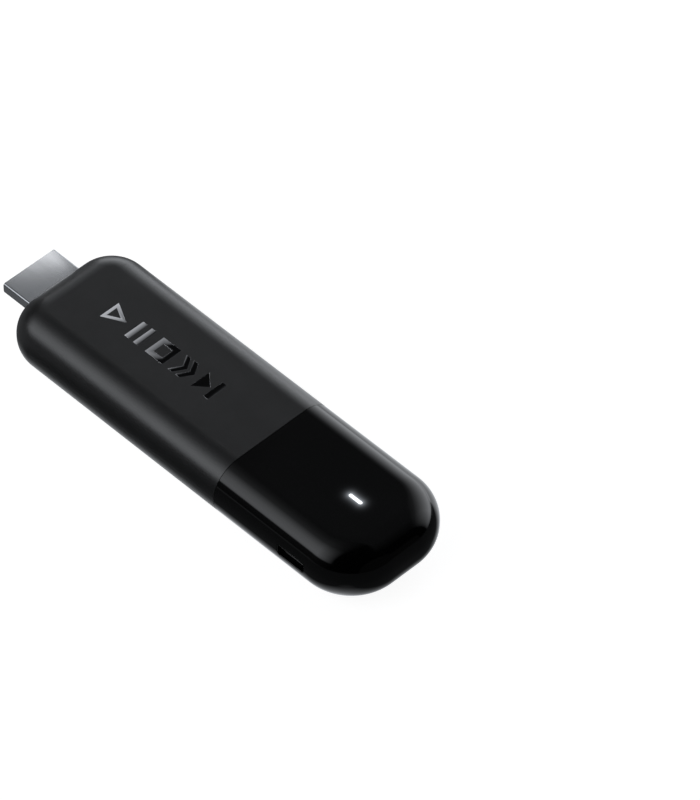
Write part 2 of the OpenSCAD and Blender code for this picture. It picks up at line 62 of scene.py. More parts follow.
FACING = 0.9
SMOOTH_ANGLE = math.radians(35)
RIM_ANGLE = math.radians(50)
AXIS_X = Vector((1, 0, 0))
AXIS_Y = Vector((0, 1, 0))
AXIS_Z = Vector((0, 0, 1))

Colour = tuple[float, float, float]
Point = tuple[float, float, float]
Span = tuple[float, float]
Outline = Sequence[tuple[float, float]]


# ---- mesh tools ----


@dataclass(frozen=True)
class Side:
    """Plane that bounds an opening: a point on it and the direction that leads out."""

    point: Vector
    outward: Vector


@dataclass(frozen=True)
class Reach:
    """Upright box in space, used to pick the faces that a cut may touch."""

    low: Vector
    high: Vector

    @classmethod
    def around(cls, centre: Vector, half: Vector) -> "Reach":
        """Box that goes out from its centre by half its size."""
        return cls(centre - half, centre + half)

    def touches(self, face: BMFace) -> bool:
        """True where the face's own box meets this one."""
        for axis in range(3):
            values = [vert.co[axis] for vert in face.verts]
            if max(values) < self.low[axis] or min(values) > self.high[axis]:
                return False
        return True

    def holds(self, point: Vector) -> bool:
        """True where the point lies in the box."""
        return all(self.low[i] <= point[i] <= self.high[i] for i in range(3))


def plane_frame(origin: Vector, across: Vector, up: Vector) -> Matrix:
    """Frame of a drawing plane.

    Args:
        origin: Where the drawing's zero lies.
        across: Direction of the drawing's first axis.
        up: Direction of its second axis.

    Returns:
        Matrix that takes drawing coordinates into space.
    """
    out = across.cross(up)
    rotation = Matrix((across, up, out)).transposed()
    return Matrix.Translation(origin) @ rotation.to_4x4()


def rectangle(half_x: float, half_y: float) -> Outline:
    """Rectangle round the drawing's zero, anticlockwise."""
    return [(-half_x, -half_y), (half_x, -half_y), (half_x, half_y), (-half_x, half_y)]


def bounding_sides(outline: Outline, radius: float, steps: int, place: Matrix) -> list[Side]:
    """Planes round a convex outline with rounded corners.

    Args:
        outline: Corners in order, anticlockwise.
        radius: Radius of the corners.
        steps: Planes in each corner.
        place: Frame of the drawing plane.

    Returns:
        The planes, each facing out of the outline.
    """
    points = [Vector(point) for point in outline]
    turn = place.to_3x3()
    sides: list[Side] = []
    normals: list[Vector] = []
    for index, point in enumerate(points):
        along = points[(index + 1) % len(points)] - point
        normals.append(Vector((along.y, -along.x)).normalized())
    for index, point in enumerate(points):
        before = normals[index - 1]
        after = normals[index]
        sides.append(Side(place @ point.to_3d(), turn @ after.to_3d()))
        centre = point - (before + after) * radius / (1 + before.dot(after))
        for step in range(1, steps + 1):
            share = step / (steps + 1)
            normal = before.lerp(after, share).normalized()
            touch = centre + normal * radius
            sides.append(Side(place @ touch.to_3d(), turn @ normal.to_3d()))
    return sides


def level_field(
    centre: Vector, half: tuple[float, float], corner: float, steps: int
) -> tuple[list[Side], Reach]:
    """Rounded rectangle that lies level.

    Args:
        centre: Its middle.
        half: Half its length and half its width.
        corner: Radius of its corners.
        steps: Planes in each corner.

    Returns:
        Its sides, and the reach of the faces in its plane.
    """
    sides = bounding_sides(rectangle(*half), corner, steps, plane_frame(centre, AXIS_X, AXIS_Y))
    return sides, Reach.around(centre, Vector((*half, THIN)))


def cell_round(reach: Reach, margin: float) -> list[Side]:
    """Upright planes round a field, which keep its cuts from running across the whole face."""
    sides: list[Side] = []
    for axis in (AXIS_X, AXIS_Y):
        sides.append(Side(reach.high + axis * margin, axis))
        sides.append(Side(reach.low - axis * margin, -axis))
    return sides


def score(bm: BMesh, sides: Iterable[Side], reach: Reach) -> None:
    """Cuts lines into the faces that reach touches, without taking anything away."""
    for side in sides:
        faces = [face for face in bm.faces if reach.touches(face)]
        edges = {edge for face in faces for edge in face.edges}
        verts = {vert for face in faces for vert in face.verts}
        bmesh.ops.bisect_plane(
            bm,
            geom=[*faces, *edges, *verts],
            dist=TOUCH,
            plane_co=side.point,
            plane_no=side.outward,
        )


def inside(bm: BMesh, sides: Sequence[Side], reach: Reach) -> list[BMFace]:
    """Faces in reach that lie within every side."""
    found: list[BMFace] = []
    for face in bm.faces:
        centre = face.calc_center_median()
        if not reach.holds(centre):
            continue
        if all((centre - side.point).dot(side.outward) < 0 for side in sides):
            found.append(face)
    return found


def open_window(bm: BMesh, sides: Sequence[Side], reach: Reach) -> None:
    """Cuts an opening through the skin where reach touches it."""
    score(bm, sides, reach)
    bmesh.ops.delete(bm, geom=inside(bm, sides, reach), context="FACES")


def keep_between(bm: BMesh, low: float, high: float) -> None:
    """Keeps what lies between two stations along X."""
    for station, direction in ((low, -AXIS_X), (high, AXIS_X)):
        bmesh.ops.bisect_plane(
            bm,
            geom=[*bm.faces, *bm.edges, *bm.verts],
            dist=TOUCH,
            plane_co=AXIS_X * station,
            plane_no=direction,
            clear_outer=True,
        )


def bevel_edges(bm: BMesh, edges: Iterable[BMEdge], width: float, segments: int) -> None:
    """Rounds the given edges."""
    bmesh.ops.bevel(
        bm,
        geom=list(edges),
        offset=width,
        offset_type="OFFSET",
        segments=segments,
        profile=0.5,
        affect="EDGES",
        clamp_overlap=False,
        material=-1,
    )


def sharp_edges(bm: BMesh, limit: float = RIM_ANGLE) -> list[BMEdge]:
    """Edges whose two faces meet at more than limit."""
    bm.normal_update()
    return [edge for edge in bm.edges if edge.is_manifold and edge.calc_face_angle(0.0) > limit]


def soften(bm: BMesh, width: float, segments: int = 2) -> None:
    """Rounds every sharp edge."""
    bevel_edges(bm, sharp_edges(bm), width, segments)


def block(bm: BMesh, low: Vector, high: Vector) -> None:
    """Adds a box between two corners."""
    place = Matrix.Translation((low + high) / 2) @ Matrix.Diagonal((*(high - low), 1))
    bmesh.ops.create_cube(bm, size=1, matrix=place)


def add_block(bm: BMesh, low: Vector, high: Vector, rim: float, segments: int = 2) -> None:
    """Adds a box with rounded edges."""
    part = bmesh.new()
    block(part, low, high)
    soften(part, rim, segments)
    merge(bm, part)


def spun(bm: BMesh, profile: Outline, centre: Vector, steps: int) -> None:
    """Turns a profile round an upright axis through centre.

    Args:
        bm: Mesh to add to.
        profile: Radius and height of each point, from the axis back to the axis.
        centre: Point on the axis that heights count from.
        steps: Steps in the full turn.
    """
    verts = [bm.verts.new(centre + Vector((radius, 0, height))) for radius, height in profile]
    edges = [bm.edges.new(pair) for pair in zip(verts, verts[1:])]
    bmesh.ops.spin(
        bm,
        geom=[*verts, *edges],
        cent=centre,
        axis=AXIS_Z,
        angle=math.tau,
        steps=steps,
        use_merge=True,
    )
    bmesh.ops.remove_doubles(bm, verts=bm.verts, dist=WELD)


def outline_face(bm: BMesh, outline: Outline, place: Matrix) -> BMFace:
    """Adds one flat face drawn in the plane of place."""
    return bm.faces.new([bm.verts.new(place @ Vector((*point, 0))) for point in outline])


def round_corners(bm: BMesh, face: BMFace, radius: float, segments: int) -> None:
    """Rounds the corners of a lone flat face."""
    bmesh.ops.bevel(
        bm,
        geom=list(face.verts),
        offset=radius,
        offset_type="OFFSET",
        segments=segments,
        profile=0.5,
        affect="VERTICES",
        clamp_overlap=True,
        material=-1,
    )


def push(bm: BMesh, faces: Iterable[BMFace], by: Vector) -> list[BMFace]:
    """Extrudes a region of faces. A region cut out of a larger surface leaves that surface open.

    Returns:
        The faces at the far end.
    """
    region = list(faces)
    own = set(region)
    joined = any(near not in own for face in region for edge in face.edges for near in edge.link_faces)
    made = bmesh.ops.extrude_face_region(bm, geom=region)["geom"]
    if joined:
        bmesh.ops.delete(bm, geom=region, context="FACES")
    verts = [item for item in made if isinstance(item, bmesh.types.BMVert)]
    bmesh.ops.translate(bm, verts=verts, vec=by)
    return [item for item in made if isinstance(item, BMFace)]


def press(bm: BMesh, sides: Sequence[Side], reach: Reach, by: Vector) -> list[BMFace]:
    """Outlines a field in the surface and moves it.

    Returns:
        The faces of the moved field.
    """
    score(bm, sides, reach)
    return push(bm, inside(bm, sides, reach), by)


def face_outwards(bm: BMesh) -> None:
    """Merges doubles and turns every face of closed shells outwards."""
    bmesh.ops.remove_doubles(bm, verts=bm.verts, dist=TOUCH)
    bmesh.ops.recalc_face_normals(bm, faces=bm.faces)


def prism(outline: Outline, place: Matrix, by: Vector, corner: float = 0.0, segments: int = 1) -> BMesh:
    """Makes a straight closed form from its section.

    Args:
        outline: Section.
        place: Drawing plane of the section.
        by: Way from the first end to the other.
        corner: Radius of the section's corners.
        segments: Steps in each corner.

    Returns:
        The new mesh.
    """
    bm = bmesh.new()
    face = outline_face(bm, outline, place)
    if corner > 0:
        round_corners(bm, face, corner, segments)
    push(bm, list(bm.faces), by)
    face_outwards(bm)
    return bm


def open_ends(bm: BMesh, axis: Vector) -> None:
    """Takes away the faces that look along an axis."""
    bm.normal_update()
    ends = [face for face in bm.faces if abs(face.normal.dot(axis)) > FACING]
    bmesh.ops.delete(bm, geom=ends, context="FACES")


def into_mesh(bm: BMesh, name: str) -> bpy.types.Mesh:
    """Makes a mesh from a bmesh and uses it up."""
    mesh = bpy.data.meshes.new(name)
    bm.to_mesh(mesh)
    bm.free()
    return mesh


def merge(bm: BMesh, other: BMesh) -> None:
    """Adds another mesh to this one and uses it up."""
    carrier = into_mesh(other, "merge")
    bm.from_mesh(carrier)
    bpy.data.meshes.remove(carrier)


def in_scene(name: str, data: bpy.types.ID) -> bpy.types.Object:
    """Makes an object that stands in the scene."""
    made = bpy.data.objects.new(name, data)
    bpy.context.scene.collection.objects.link(made)
    return made


def thickened(bm: BMesh, wall: float) -> BMesh:
    """Gives an open skin a wall on its inner side.

    Args:
        bm: The skin, which is used up.
        wall: Thickness of the wall.

    Returns:
        A new mesh with both sides and the rims between them.
    """
    mesh = into_mesh(bm, "skin")
    carrier = in_scene("skin", mesh)
    solidify = carrier.modifiers.new("wall", "SOLIDIFY")
    solidify.thickness = wall
    solidify.offset = -1.0
    solidify.use_even_offset = True
    graph = bpy.context.evaluated_depsgraph_get()
    thick = bmesh.new()
    thick.from_object(carrier, graph)
    bpy.data.objects.remove(carrier)
    bpy.data.meshes.remove(mesh)
    return thick


def drop_loose(bm: BMesh) -> None:
    """Takes away edges and points that no face uses."""
    bmesh.ops.delete(bm, geom=[edge for edge in bm.edges if not edge.link_faces], context="EDGES")
    bmesh.ops.delete(bm, geom=[vert for vert in bm.verts if not vert.link_faces], context="VERTS")


def steady_normals(mesh: bpy.types.Mesh) -> None:
    """Leans every loop's normal on the large faces, so that flats stay flat beside rounded edges."""
    limit = math.cos(SMOOTH_ANGLE)
    around: list[list[int]] = [[] for _ in mesh.vertices]
    for polygon in mesh.polygons:
        for index in polygon.vertices:
            around[index].append(polygon.index)
    normals = [polygon.normal.copy() for polygon in mesh.polygons]
    areas = [polygon.area for polygon in mesh.polygons]
    loops = [(0.0, 0.0, 0.0)] * len(mesh.loops)
    for polygon in mesh.polygons:
        own = normals[polygon.index]
        for loop, vert in zip(polygon.loop_indices, polygon.vertices):
            near = [index for index in around[vert] if own.dot(normals[index]) > limit]
            total = sum((normals[index] * areas[index] for index in near), Vector((0, 0, 0)))
            loops[loop] = tuple(total.normalized())
    mesh.normals_split_custom_set(loops)


def make_piece(
    bm: BMesh, name: str, finishes: Sequence["Finish"], node: str
) -> bpy.types.Object:
    """Turns a mesh into a piece that rides on the stick.

    Args:
        bm: The mesh, which is used up.
        name: Name of the piece.
        finishes: Finishes in the order of the faces' material indices.
        node: CAD node that the piece replaces.

    Returns:
        The new object.
    """
    drop_loose(bm)
    mesh = into_mesh(bm, name)
    for finish in finishes:
        mesh.materials.append(finish.material())
    mesh.shade_smooth()
    mesh.set_sharp_from_angle(angle=SMOOTH_ANGLE)
    steady_normals(mesh)
    piece = in_scene(name, mesh)
    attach(piece, ROOT)
    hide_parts(node)
    LOG.info("%s: %d faces for %s", name, len(mesh.polygons), node)
    return piece


def dress_node(node: str, finish: "Finish") -> None:
    """Gives a CAD node that keeps its own mesh a better material."""
    material = finish.material()
    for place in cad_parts[node].material_slots:
        place.material = material
    LOG.info("%s: CAD shape with %s", node, material.name)


def solids_of(node: str) -> list[tuple[Vector, Vector]]:
    """Boxes of the separate solids in a CAD node, ordered by place.

    Args:
        node: Name of the node.

    Returns:
        Lowest and highest corner of each solid.
    """
    bm = bmesh.new()
    bm.from_mesh(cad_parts[node].data)
    bmesh.ops.remove_doubles(bm, verts=bm.verts, dist=WELD)
    waiting = set(bm.verts)
    boxes: list[tuple[Vector, Vector]] = []
    while waiting:
        island = {waiting.pop()}
        border = set(island)
        while border:
            reached = {edge.other_vert(vert) for vert in border for edge in vert.link_edges}
            border = reached - island
            island |= border
        waiting -= island
        low = Vector([min(vert.co[axis] for vert in island) for axis in range(3)])
        high = Vector([max(vert.co[axis] for vert in island) for axis in range(3)])
        boxes.append((low, high))
    bm.free()
    return sorted(boxes, key=lambda box: tuple(round(value, 5) for value in box[0]))

def build_strips(node: str, name: str, rim: float) -> None:
    """Makes a row of contact strips with rounded edges, one for each box of the CAD node."""
    bm = bmesh.new()
    for low, high in solids_of(node):
        add_block(bm, low, high, rim)
    make_piece(bm, name, [FINISHES.contact_gold], node)


# ---- node graph tools ----


class Graph:
    """Node tree with short calls for the nodes that the finishes use."""

    def __init__(self, tree: bpy.types.NodeTree) -> None:
        """Starts with an empty tree."""
        self.tree = tree
        tree.nodes.clear()

    def add(self, kind: str, feeds: dict | None = None, **settings: object) -> bpy.types.Node:
        """Adds a node, sets its properties and feeds its inputs, by name or by number."""
        node = self.tree.nodes.new(kind)
        for key, value in settings.items():
            setattr(node, key, value)
        for key, value in (feeds or {}).items():
            self.feed(node.inputs[key], value)
        return node

    def feed(self, socket: bpy.types.NodeSocket, value: object) -> None:
        """Links a socket to another one, or sets its value."""
        if isinstance(value, bpy.types.NodeSocket):
            self.tree.links.new(value, socket)
        elif value is not None:
            socket.default_value = value

    def math(self, operation: str, *values: object) -> bpy.types.NodeSocket:
        """Adds a Math node on up to three values."""
        return self.add("ShaderNodeMath", dict(enumerate(values)), operation=operation).outputs[0]

    def noise(self, vector: object, scale: object, detail: float = 2.0) -> bpy.types.NodeSocket:
        """Adds a Noise Texture and returns its factor."""
        feeds = {"Vector": vector, "Scale": scale, "Detail": detail}
        return self.add("ShaderNodeTexNoise", feeds).outputs["Fac"]

    def stretch(
        self, vector: object, scale: Sequence[float], move: Sequence[float] = (0, 0, 0)
    ) -> bpy.types.NodeSocket:
        """Adds a Mapping node."""
        feeds = {"Vector": vector, "Location": tuple(move), "Scale": tuple(scale)}
        return self.add("ShaderNodeMapping", feeds).outputs[0]

    def centred(self, vector: object, centre: Point) -> bpy.types.NodeSocket:
        """Moves a pattern's zero to centre."""
        return self.stretch(vector, (1, 1, 1), [-value for value in centre])

    def split(self, vector: object) -> tuple[bpy.types.NodeSocket, ...]:
        """Adds a Separate XYZ node and returns its three parts."""
        return tuple(self.add("ShaderNodeSeparateXYZ", {0: vector}).outputs)

    def span(
        self, value: object, low: object, high: object, to_low: object, to_high: object
    ) -> bpy.types.NodeSocket:
        """Adds a clamped Map Range node."""
        feeds = dict(enumerate((value, low, high, to_low, to_high)))
        return self.add("ShaderNodeMapRange", feeds).outputs[0]

    def blend(self, share: object, first: object, second: object) -> bpy.types.NodeSocket:
        """Adds a colour mix."""
        feeds = {0: share, 6: opaque(first), 7: opaque(second)}
        return self.add("ShaderNodeMix", feeds, data_type="RGBA").outputs[2]

    def bump(self, height: object, distance: float) -> bpy.types.NodeSocket:
        """Adds a Bump node and returns its normal."""
        feeds = {"Height": height, "Distance": distance, "Strength": 1.0}
        return self.add("ShaderNodeBump", feeds).outputs[0]

    def glow(self, colour: object, strength: object) -> bpy.types.NodeSocket:
        """Adds an Emission shader."""
        feeds = {"Color": opaque(colour), "Strength": strength}
        return self.add("ShaderNodeEmission", feeds).outputs[0]

    def place(self) -> bpy.types.NodeSocket:
        """Adds object coordinates."""
        return self.add("ShaderNodeTexCoord").outputs["Object"]

    def group(self, tree: bpy.types.NodeTree, **values: object) -> bpy.types.Node:
        """Adds a node group and feeds its inputs by name."""
        node = self.add("ShaderNodeGroup", node_tree=tree)
        for key, value in values.items():
            self.feed(node.inputs[key.replace("_", " ").capitalize()], value)
        return node


def opaque(colour: object) -> object:
    """Adds the alpha that a colour socket wants."""
    if isinstance(colour, tuple) and len(colour) == 3:
        return (*colour, 1.0)
    return colour


def new_material(name: str) -> tuple[bpy.types.Material, Graph]:
    """Makes a material and the graph of its nodes."""
    made = bpy.data.materials.new(name)
    made.use_nodes = True
    return made, Graph(made.node_tree)


def new_group(name: str, inputs: dict[str, str], outputs: dict[str, str]) -> tuple[Graph, dict, dict]:
    """Starts a shader node group.

    Args:
        name: Name of the group.
        inputs: Socket type of each input.
        outputs: Socket type of each output.

    Returns:
        The graph, the input sockets by name and the output sockets by name.
    """
    tree = bpy.data.node_groups.new(name, "ShaderNodeTree")
    graph = Graph(tree)
    for key, kind in inputs.items():
        tree.interface.new_socket(key, in_out="INPUT", socket_type=kind)
    for key, kind in outputs.items():
        tree.interface.new_socket(key, in_out="OUTPUT", socket_type=kind)
    entry = graph.add("NodeGroupInput")
    leave = graph.add("NodeGroupOutput")
    taken = {key: entry.outputs[key] for key in inputs}
    given = {key: leave.inputs[key] for key in outputs}
    return graph, taken, given


VECTOR = "NodeSocketVector"
VALUE = "NodeSocketFloat"


class Effects:
    """Surface effects shared by the finishes, each a node group built once."""

    @staticmethod
    def grain() -> bpy.types.NodeTree:
        """Fine pebbled skin of a mould, as a height and a mottling mask."""
        name = "mould_grain"
        if name in bpy.data.node_groups:
            return bpy.data.node_groups[name]
        graph, taken, given = new_group(
            name, {"Vector": VECTOR, "Scale": VALUE}, {"Height": VALUE, "Mottle": VALUE}
        )
        fine = graph.noise(taken["Vector"], taken["Scale"], 3.0)
        coarse = graph.noise(taken["Vector"], graph.math("MULTIPLY", taken["Scale"], 0.31), 2.0)
        height = graph.math("MULTIPLY_ADD", coarse, 0.6, fine)
        graph.feed(given["Height"], height)
        slow = graph.noise(taken["Vector"], graph.math("MULTIPLY", taken["Scale"], 0.06), 3.0)
        graph.feed(given["Mottle"], graph.span(slow, 0.35, 0.65, 0.0, 1.0))
        return graph.tree

    @staticmethod
    def handling() -> bpy.types.NodeTree:
        """Faint smears and dust of handling, as a mask."""
        name = "handling_marks"
        if name in bpy.data.node_groups:
            return bpy.data.node_groups[name]
        graph, taken, given = new_group(name, {"Vector": VECTOR, "Scale": VALUE}, {"Mask": VALUE})
        smear = graph.noise(graph.stretch(taken["Vector"], (1.0, 2.6, 1.4)), taken["Scale"], 4.0)
        speck = graph.noise(taken["Vector"], graph.math("MULTIPLY", taken["Scale"], 28.0), 1.0)
        wide = graph.span(smear, 0.4, 0.72, 0.0, 0.8)
        dots = graph.span(speck, 0.66, 0.74, 0.0, 0.35)
        graph.feed(given["Mask"], graph.math("MAXIMUM", wide, dots))
        return graph.tree

    @staticmethod
    def brushing() -> bpy.types.NodeTree:
        """Drawn lines of rolled sheet, as a height and a mask."""
        name = "drawn_lines"
        if name in bpy.data.node_groups:
            return bpy.data.node_groups[name]
        graph, taken, given = new_group(
            name, {"Vector": VECTOR, "Scale": VALUE}, {"Height": VALUE, "Mask": VALUE}
        )
        lines = graph.noise(taken["Vector"], taken["Scale"], 4.0)
        bands = graph.noise(taken["Vector"], graph.math("MULTIPLY", taken["Scale"], 0.2), 2.0)
        graph.feed(given["Height"], lines)
        graph.feed(given["Mask"], graph.span(bands, 0.35, 0.65, 0.0, 1.0))
        return graph.tree

    @staticmethod
    def halo() -> bpy.types.NodeTree:
        """Soft light round a bar that lies along X, as a mask."""
        name = "lamp_halo"
        if name in bpy.data.node_groups:
            return bpy.data.node_groups[name]
        inputs = {"Vector": VECTOR, "Half length": VALUE, "Reach": VALUE}
        graph, taken, given = new_group(name, inputs, {"Mask": VALUE})
        x, y, z = graph.split(taken["Vector"])
        along = graph.math("SUBTRACT", graph.math("ABSOLUTE", x), taken["Half length"])
        beyond = graph.math("MAXIMUM", along, 0.0)
        squares = graph.math("MULTIPLY", beyond, beyond)
        squares = graph.math("MULTIPLY_ADD", y, y, squares)
        squares = graph.math("MULTIPLY_ADD", z, z, squares)
        away = graph.math("DIVIDE", graph.math("SQRT", squares), taken["Reach"])
        graph.feed(given["Mask"], graph.math("EXPONENT", graph.math("MULTIPLY", away, -1.0)))
        return graph.tree


# ---- finishes ----


@dataclass(frozen=True)
class Finish:
    """What every finish has: a name, and a material that is built once."""

    name: str

    def material(self) -> bpy.types.Material:
        """Returns the material, wired at its first use."""
        title = f"{self.name}_finish"
        found = bpy.data.materials.get(title)
        if found:
            return found
        made, graph = new_material(title)
        shader = graph.add("ShaderNodeBsdfPrincipled")
        graph.add("ShaderNodeOutputMaterial", {"Surface": shader.outputs[0]})
        for key, value in self.wire(graph).items():
            graph.feed(shader.inputs[key], value)
        return made

    def wire(self, graph: Graph) -> dict[str, object]:
        """Adds the finish's own nodes and returns what each input of the shader gets."""
        raise NotImplementedError


@dataclass(frozen=True)
class MouldedPlastic(Finish):
    """Moulded or cast surface with a fine grain."""

    dark: Colour = (0.0055, 0.0055, 0.0060)
    light: Colour = (0.0085, 0.0085, 0.0090)
    smooth: float = 0.30
    rough: float = 0.35
    grain_scale: float = 5200.0
    grain_depth: float = 0.00001
    smear_scale: float = 60.0
    gloss_level: float = 0.5

    def wire(self, graph: Graph) -> dict[str, object]:
        """Gives mottled colour, uneven roughness and the grain's bump."""
        place = graph.place()
        grain = graph.group(Effects.grain(), vector=place, scale=self.grain_scale)
        marks = graph.group(Effects.handling(), vector=place, scale=self.smear_scale)
        return {
            "Base Color": graph.blend(grain.outputs["Mottle"], self.dark, self.light),
            "Roughness": graph.span(marks.outputs["Mask"], 0.0, 1.0, self.rough, self.smooth),
            "Specular IOR Level": self.gloss_level,
            "Normal": graph.bump(grain.outputs["Height"], self.grain_depth),
        }


@dataclass(frozen=True)
class GlossPlastic(Finish):
    """Polished plastic with faint smears, and a painted glow round the lamp's window: emission on the plastic
    itself that stands in for the lamp's light.
    """

    colour: Colour = (0.0020, 0.0020, 0.0021)
    tint: Colour = (0.0032, 0.0032, 0.0034)
    smooth: float = 0.03
    rough: float = 0.09
    smear_scale: float = 45.0
    wave_scale: float = 240.0
    wave_depth: float = 0.000004
    # lamp_place and lamp_half place the painted glow; the next three set the painted glow's reach, strength
    # and colour.
    lamp_place: Point = (0.0, 0.0, 0.0)
    lamp_half: float = 1.3 * MM
    painted_glow_reach: float = 0.42 * MM
    painted_glow_strength: float = 0.9
    painted_glow_colour: Colour = (0.86, 0.92, 1.0)

    def wire(self, graph: Graph) -> dict[str, object]:
        """Gives smears in the roughness, a slow wave in the normal, and a painted glow round the lamp's
        window as emission.
        """
        place = graph.place()
        mask = graph.group(Effects.handling(), vector=place, scale=self.smear_scale).outputs["Mask"]
        colour = graph.blend(mask, self.colour, self.tint)
        uneven = graph.span(mask, 0.0, 1.0, self.smooth, self.rough)
        wave = graph.bump(graph.noise(place, self.wave_scale, 1.0), self.wave_depth)
        # Painted glow: the plastic round the lamp's window emits light, though it is no lamp.
        centred = graph.centred(place, self.lamp_place)
        halo = graph.group(
            Effects.halo(), vector=centred, half_length=self.lamp_half, reach=self.painted_glow_reach
        )
        return {
            "Base Color": colour,
            "Roughness": uneven,
            "Normal": wave,
            "Emission Color": graph.blend(halo.outputs["Mask"], (0.0, 0.0, 0.0), self.painted_glow_colour),
            "Emission Strength": self.painted_glow_strength,
        }


@dataclass(frozen=True)
class RolledMetal(Finish):
    """Plated or rolled metal with drawn lines."""

    dark: Colour = (0.42, 0.43, 0.45)
    light: Colour = (0.60, 0.61, 0.63)
    smooth: float = 0.2
    rough: float = 0.34
    line_scale: float = 900.0
    line_depth: float = 0.000004
    line_stretch: Point = (0.06, 1.0, 1.0)
    line_share: float = 0.6
    smear_scale: float = 90.0
    smear_share: float = 0.4

    def wire(self, graph: Graph) -> dict[str, object]:
        """Gives lines in the colour, the roughness and the bump."""
        place = graph.place()
        drawn = graph.stretch(place, self.line_stretch)
        lines = graph.group(Effects.brushing(), vector=drawn, scale=self.line_scale)
        marks = graph.group(Effects.handling(), vector=place, scale=self.smear_scale)
        smears = graph.math("MULTIPLY", marks.outputs["Mask"], self.smear_share)
        both = graph.math("MULTIPLY_ADD", lines.outputs["Mask"], self.line_share, smears)
        return {
            "Base Color": graph.blend(both, self.light, self.dark),
            "Roughness": graph.span(both, 0.0, 1.0, self.smooth, self.rough),
            "Metallic": 1.0,
            "Normal": graph.bump(lines.outputs["Height"], self.line_depth),
        }


@dataclass(frozen=True)
class LitWindow(Finish):
    """Milky light guide, brightest in its middle."""

    centre: Point = (0.0, 0.0, 0.0)
    glow: float = 1.25
    unlit: Colour = (0.10, 0.11, 0.12)
    rim: Colour = (0.62, 0.68, 0.76)
    core: Colour = (1.0, 1.0, 1.0)
    core_half: float = 1.4 * MM
    core_reach: float = 0.9 * MM
    lit_levels: Span = (12 * MM, 14 * MM)
    dark: Colour = (0.72, 0.73, 0.74)
    light: Colour = (0.82, 0.83, 0.84)
    smooth: float = 0.28
    rough: float = 0.4
    grain_scale: float = 1800.0
    grain_depth: float = 0.000003

    def wire(self, graph: Graph) -> dict[str, object]:
        """Gives a bright core as emission, which fades below the window."""
        place = graph.place()
        grain = graph.group(Effects.grain(), vector=place, scale=self.grain_scale)
        centred = graph.centred(place, self.centre)
        halo = graph.group(
            Effects.halo(), vector=centred, half_length=self.core_half, reach=self.core_reach
        )
        lit = graph.span(graph.split(place)[2], *self.lit_levels, 0.0, 1.0)
        colour = graph.blend(halo.outputs["Mask"], self.rim, self.core)
        mottle = grain.outputs["Mottle"]
        return {
            "Emission Color": graph.blend(lit, self.unlit, colour),
            "Emission Strength": self.glow,
            "Base Color": graph.blend(mottle, self.dark, self.light),
            "Roughness": graph.span(mottle, 0.0, 1.0, self.smooth, self.rough),
            "Normal": graph.bump(grain.outputs["Height"], self.grain_depth),
        }


@dataclass(frozen=True)
class CircuitLaminate(Finish):
    """Solder-masked board with copper runs and pads showing through."""

    mask_dark: Colour = (0.006, 0.035, 0.020)
    mask_light: Colour = (0.012, 0.075, 0.040)
    pad: Colour = (0.78, 0.60, 0.26)
    run_scale: float = 620.0
    run_gap: float = 0.09
    run_fade: float = 0.1
    pad_scale: float = 900.0
    pad_edge: Span = (0.16, 0.2)
    patch_scale: float = 140.0
    patch_edge: Span = (0.5, 0.53)
    smooth: float = 0.26
    rough: float = 0.34
    step_depth: float = 0.00002

    def wire(self, graph: Graph) -> dict[str, object]:
        """Gives stepped cells as copper runs and small dots as plated holes."""
        place = graph.place()
        cells = {
            "Vector": place,
            "Scale": self.run_scale,
            "Mortar Size": self.run_gap,
            "Mortar Smooth": self.run_fade,
        }
        runs = graph.add("ShaderNodeTexBrick", cells, offset=0.37, squash=0.55, squash_frequency=3)
        dots = graph.add("ShaderNodeTexVoronoi", {"Scale": self.pad_scale}, feature="F1")
        graph.feed(dots.inputs["Vector"], graph.stretch(place, (1, 1, 0)))
        hole = graph.span(dots.outputs["Distance"], *self.pad_edge, 1.0, 0.0)
        patch = graph.span(graph.noise(place, self.patch_scale, 1.0), *self.patch_edge, 0.0, 1.0)
        plated = graph.math("MULTIPLY", hole, patch)
        copper = graph.blend(runs.outputs["Fac"], self.mask_dark, self.mask_light)
        colour = graph.blend(plated, copper, self.pad)
        uneven = graph.span(runs.outputs["Fac"], 0.0, 1.0, self.rough, self.smooth)
        step = graph.math("MULTIPLY_ADD", plated, 0.5, runs.outputs["Fac"])
        return {
            "Base Color": colour,
            "Metallic": plated,
            "Roughness": uneven,
            "Normal": graph.bump(step, self.step_depth),
        }


# ---- the housing's form ----


